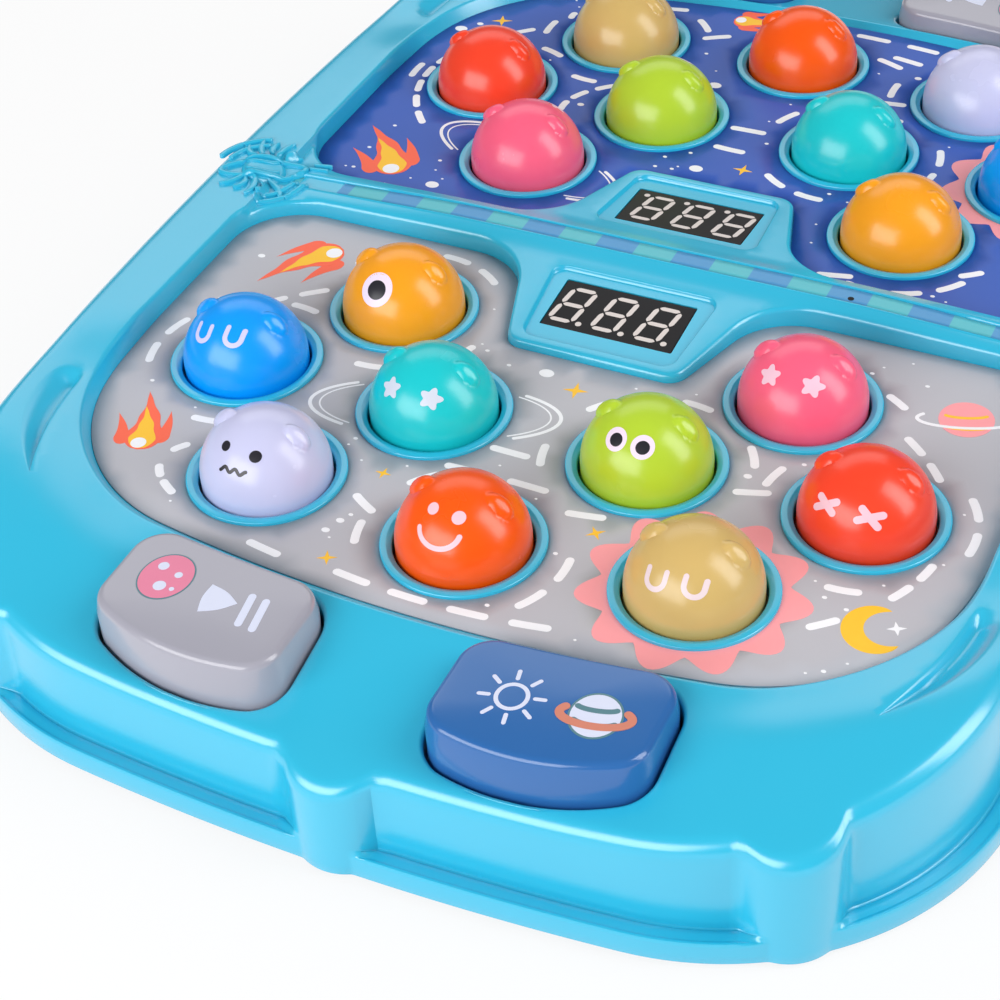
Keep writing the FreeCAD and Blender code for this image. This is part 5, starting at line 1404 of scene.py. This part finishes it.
def relief_strokes():
    """Raised lines round the planet, each with its height: a bold ring, bands on the ball, curved rays in
    two fans, arcs outside them, and two short dashes towards the strip."""
    def thin(t):
        return np.sin(pi * t) ** 0.45

    lines = [(placed(stroke(bow(0, 0, 12.4, 4.0, 0, 360, 84), 0.85, ends=False, across=7), 0, 0, 28), 1.2)]
    lines += [(placed(stroke(bow(0, lift, 4.6, 1.5, 205, 335), 0.6, across=7), 0, 0, 28), 0.6)
              for lift in (3.2, -0.8)]
    for k, turn in enumerate((60, 80, 100, 120, 140, 240, 260, 280, 300, 320)):
        ray = bow(8.0, 0, 3.0 + 1.6 * (k % 2), 2.0, 160, 20, 14)
        lines.append((placed(stroke(ray + [2.0, -1.5], 0.95, thin, across=7), 0, 0, turn), 1.1))
    for reach, half in ((11.6, 0.8), (14.8, 0.9)):
        for turn in (112, 146, 292, 326):
            lines.append((stroke(bow(0, 0, reach, reach, turn, turn + 28), half, across=7), 1.1))
    lines += [(stroke(straight((12.4, y), (16.6, y + 0.6)), 0.75, across=7), 0.9) for y in (6.6, 9.4)]
    return lines


class BuildDetails(ToyOperator, bpy.types.Operator):
    """Makes the relief beside the bar, and a dark disc of painted shade on the strip where a small hole would
    be
    """
    bl_idname = "toy.details"
    bl_label = "Relief and hole"

    def execute(self, context):
        plastic = bpy.data.materials["casing_plastic"]
        skin = Skin()
        x, y = ORNAMENT

        def ground(plan):
            """The casing's top with the planet's ball on it, for places round the ornament's middle."""
            reach = np.hypot(plan[..., 0], plan[..., 1]) / PLANET_RADIUS
            ball = PLANET_RISE * np.sqrt(np.maximum(1 - reach ** 2, 0))
            return casing_height(plan[..., 0] + x, plan[..., 1] + y) + ball

        plan, lift, wrap = patch(PLANET_RADIUS, 12, 64)
        rows = np.stack([plan[..., 0] + x, plan[..., 1] + y, ground(plan) - 0.3 * (lift < 0)], -1)
        skin.grid(rows, wrap)
        for (plan, lift, wrap), tall in relief_strokes():
            across = np.linspace(-1, 1, plan.shape[1])
            rise = tall * np.sqrt(np.maximum(1 - across ** 2, 0)) - 0.3 * (lift < 0)
            skin.grid(np.stack([plan[..., 0] + x, plan[..., 1] + y, ground(plan) + rise], -1), False)
        skin.turned().build("relief", [plastic], "casing", "casing", sharp=35)
        # The small hole is not cut: a near-black disc laid flush on the strip is painted shade where the
        # hole's inside would be dark
        hole = Skin()
        lay(hole, placed(patch(HOLE_RADIUS, 2, 24), *HOLE_PLACE), on_bar, 0, LONE_PRINT)
        hole.build("strip_hole_painted_shade", [printed("hole_painted_shade", linear(12, 12, 14), 0.6)], "casing", "strip", sharp=35)
        return {"FINISHED"}


class FinishFrame(ToyOperator, bpy.types.Operator):
    """Gives each CAD node that stays its own finish"""
    bl_idname = "toy.frame"
    bl_label = "Inner parts and base"

    def execute(self, context):
        cover = moulded("cover_plastic", linear(40, 160, 205), 0.45, spread=0.04, grain=0.00003)
        laminate = moulded("laminate", linear(28, 96, 58), 0.4, spread=0.1)
        black = moulded("black_plastic", linear(26, 26, 29), 0.5, spread=0.1)
        cone = moulded("speaker_cone", linear(40, 40, 43), 0.6, spread=0.15)
        lens = moulded("lamp_lens", linear(238, 240, 244), 0.12, spread=0.02, **{"Transmission Weight": 0.6})
        rubber = moulded("foot_rubber", linear(34, 34, 37), 0.75, spread=0.12, grain=0.00003)
        sleeve = moulded("cell_sleeve", linear(52, 56, 62), 0.35, spread=0.08)
        wire = metal("spring_wire", (0.78, 0.79, 0.8), 0.25)
        zinc = metal("zinc", (0.7, 0.71, 0.74), 0.35)
        nickel = metal("nickel", (0.76, 0.75, 0.72), 0.3)
        finishes = {"bottom_cover": cover, "battery_door": cover, "circuit_boards": laminate,
                    "tact_switches": black, "leds": lens, "speaker": cone, "rubber_feet": rubber,
                    "batteries": sleeve, "battery_contacts": nickel, "screws": zinc, "door_screws": zinc}
        for name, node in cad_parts.items():
            finish = wire if "spring" in name else finishes.get(name)
            if finish:
                node.data.materials.clear()
                node.data.materials.append(finish)
        return {"FINISHED"}


class BuildStage(ToyOperator, bpy.types.Operator):
    """Makes the floor, the lights, the world and the camera"""
    bl_idname = "toy.stage"
    bl_label = "Stage"

    def execute(self, context):
        look, scene = sizes("toy_stage"), context.scene
        mesh = bpy.data.meshes.new("floor")
        corners = np.array([(-1, -1, 0), (1, -1, 0), (1, 1, 0), (-1, 1, 0)]) * FLOOR_REACH
        mesh.from_pydata(corners.tolist(), [], [(0, 1, 2, 3)])
        floor = bpy.data.objects.new("floor", mesh)
        scene.collection.objects.link(floor)
        material = bpy.data.materials.new("floor_paper")
        tree = Tree(material)
        seen = tree.node("LightPath", output="Is Camera Ray") + tree.node("LightPath", output="Is Glossy Ray")
        paper = tree.node("BsdfDiffuse", {"Color": tuple(look.floor)})
        glow = tree.node("Emission", {"Color": (1, 1, 1), "Strength": 1.0})
        tree.finish(tree.node("MixShader", {0: seen * FLOOR_GLOW, 1: paper, 2: glow}))
        mesh.materials.append(material)

        scene.world = scene.world or bpy.data.worlds.new("studio")
        tree = Tree(scene.world)
        path = tree.node("LightPath", output="Is Camera Ray")
        glossy = tree.node("LightPath", output="Is Glossy Ray")
        through = tree.node("LightPath", output="Is Transmission Ray")
        direct = path + through
        strength = direct + glossy * WORLD_GLOSS + (1 - direct - glossy) * WORLD_LIGHT
        tree.finish(tree.node("Background", {"Color": (1, 1, 1), "Strength": strength}), "World")

        for name, place, (wide, tall), light, share_of in LAMPS:
            data = bpy.data.lights.new(name, "AREA")
            data.shape, data.size, data.size_y = "RECTANGLE", wide, tall
            data.energy = getattr(look, light) * share_of
            lamp = bpy.data.objects.new(name, data)
            scene.collection.objects.link(lamp)
            lamp.location = place
            lamp.rotation_euler = (LAMP_AIM - Vector(place)).to_track_quat("-Z", "Y").to_euler()

        data = bpy.data.cameras.new("camera")
        data.lens, data.sensor_width, data.clip_end = CAMERA_LENS, CAMERA_SENSOR, 50.0
        camera = bpy.data.objects.new("camera", data)
        scene.collection.objects.link(camera)
        turn = Matrix(CAMERA_AXES).transposed().to_4x4()
        camera.matrix_world = Matrix.Translation(CAMERA_PLACE) @ turn
        scene.camera = camera
        scene.view_settings.view_transform = "Standard"
        return {"FINISHED"}


STEPS = (BuildStage, BuildCasing, BuildPanels, BuildMoles, BuildButtons, BuildDisplays, BuildDetails,
         FinishFrame)


class ToyPanel(bpy.types.Panel):
    bl_idname = "VIEW3D_PT_toy"
    bl_label = "Whack-a-mole toy"
    bl_space_type = "VIEW_3D"
    bl_region_type = "UI"
    bl_category = "Toy"

    def draw(self, context):
        for key, group in GROUPS.items():
            box = self.layout.box()
            for name in group.__annotations__:
                box.prop(getattr(context.scene, key), name)
        for step in STEPS:
            self.layout.operator(step.bl_idname)


def register():
    for group in GROUPS.values():
        bpy.utils.register_class(group)
    for key, group in GROUPS.items():
        setattr(bpy.types.Scene, key, bpy.props.PointerProperty(type=group))
    for made in STEPS + (ToyPanel,):
        bpy.utils.register_class(made)


def unregister():
    for made in reversed(STEPS + (ToyPanel,)):
        bpy.utils.unregister_class(made)
    for key, group in GROUPS.items():
        delattr(bpy.types.Scene, key)
        bpy.utils.unregister_class(group)


def main():
    register()
    for step in STEPS:
        area, name = step.bl_idname.split(".")
        getattr(getattr(bpy.ops, area), name)()


if __name__ == "__main__":
    main()
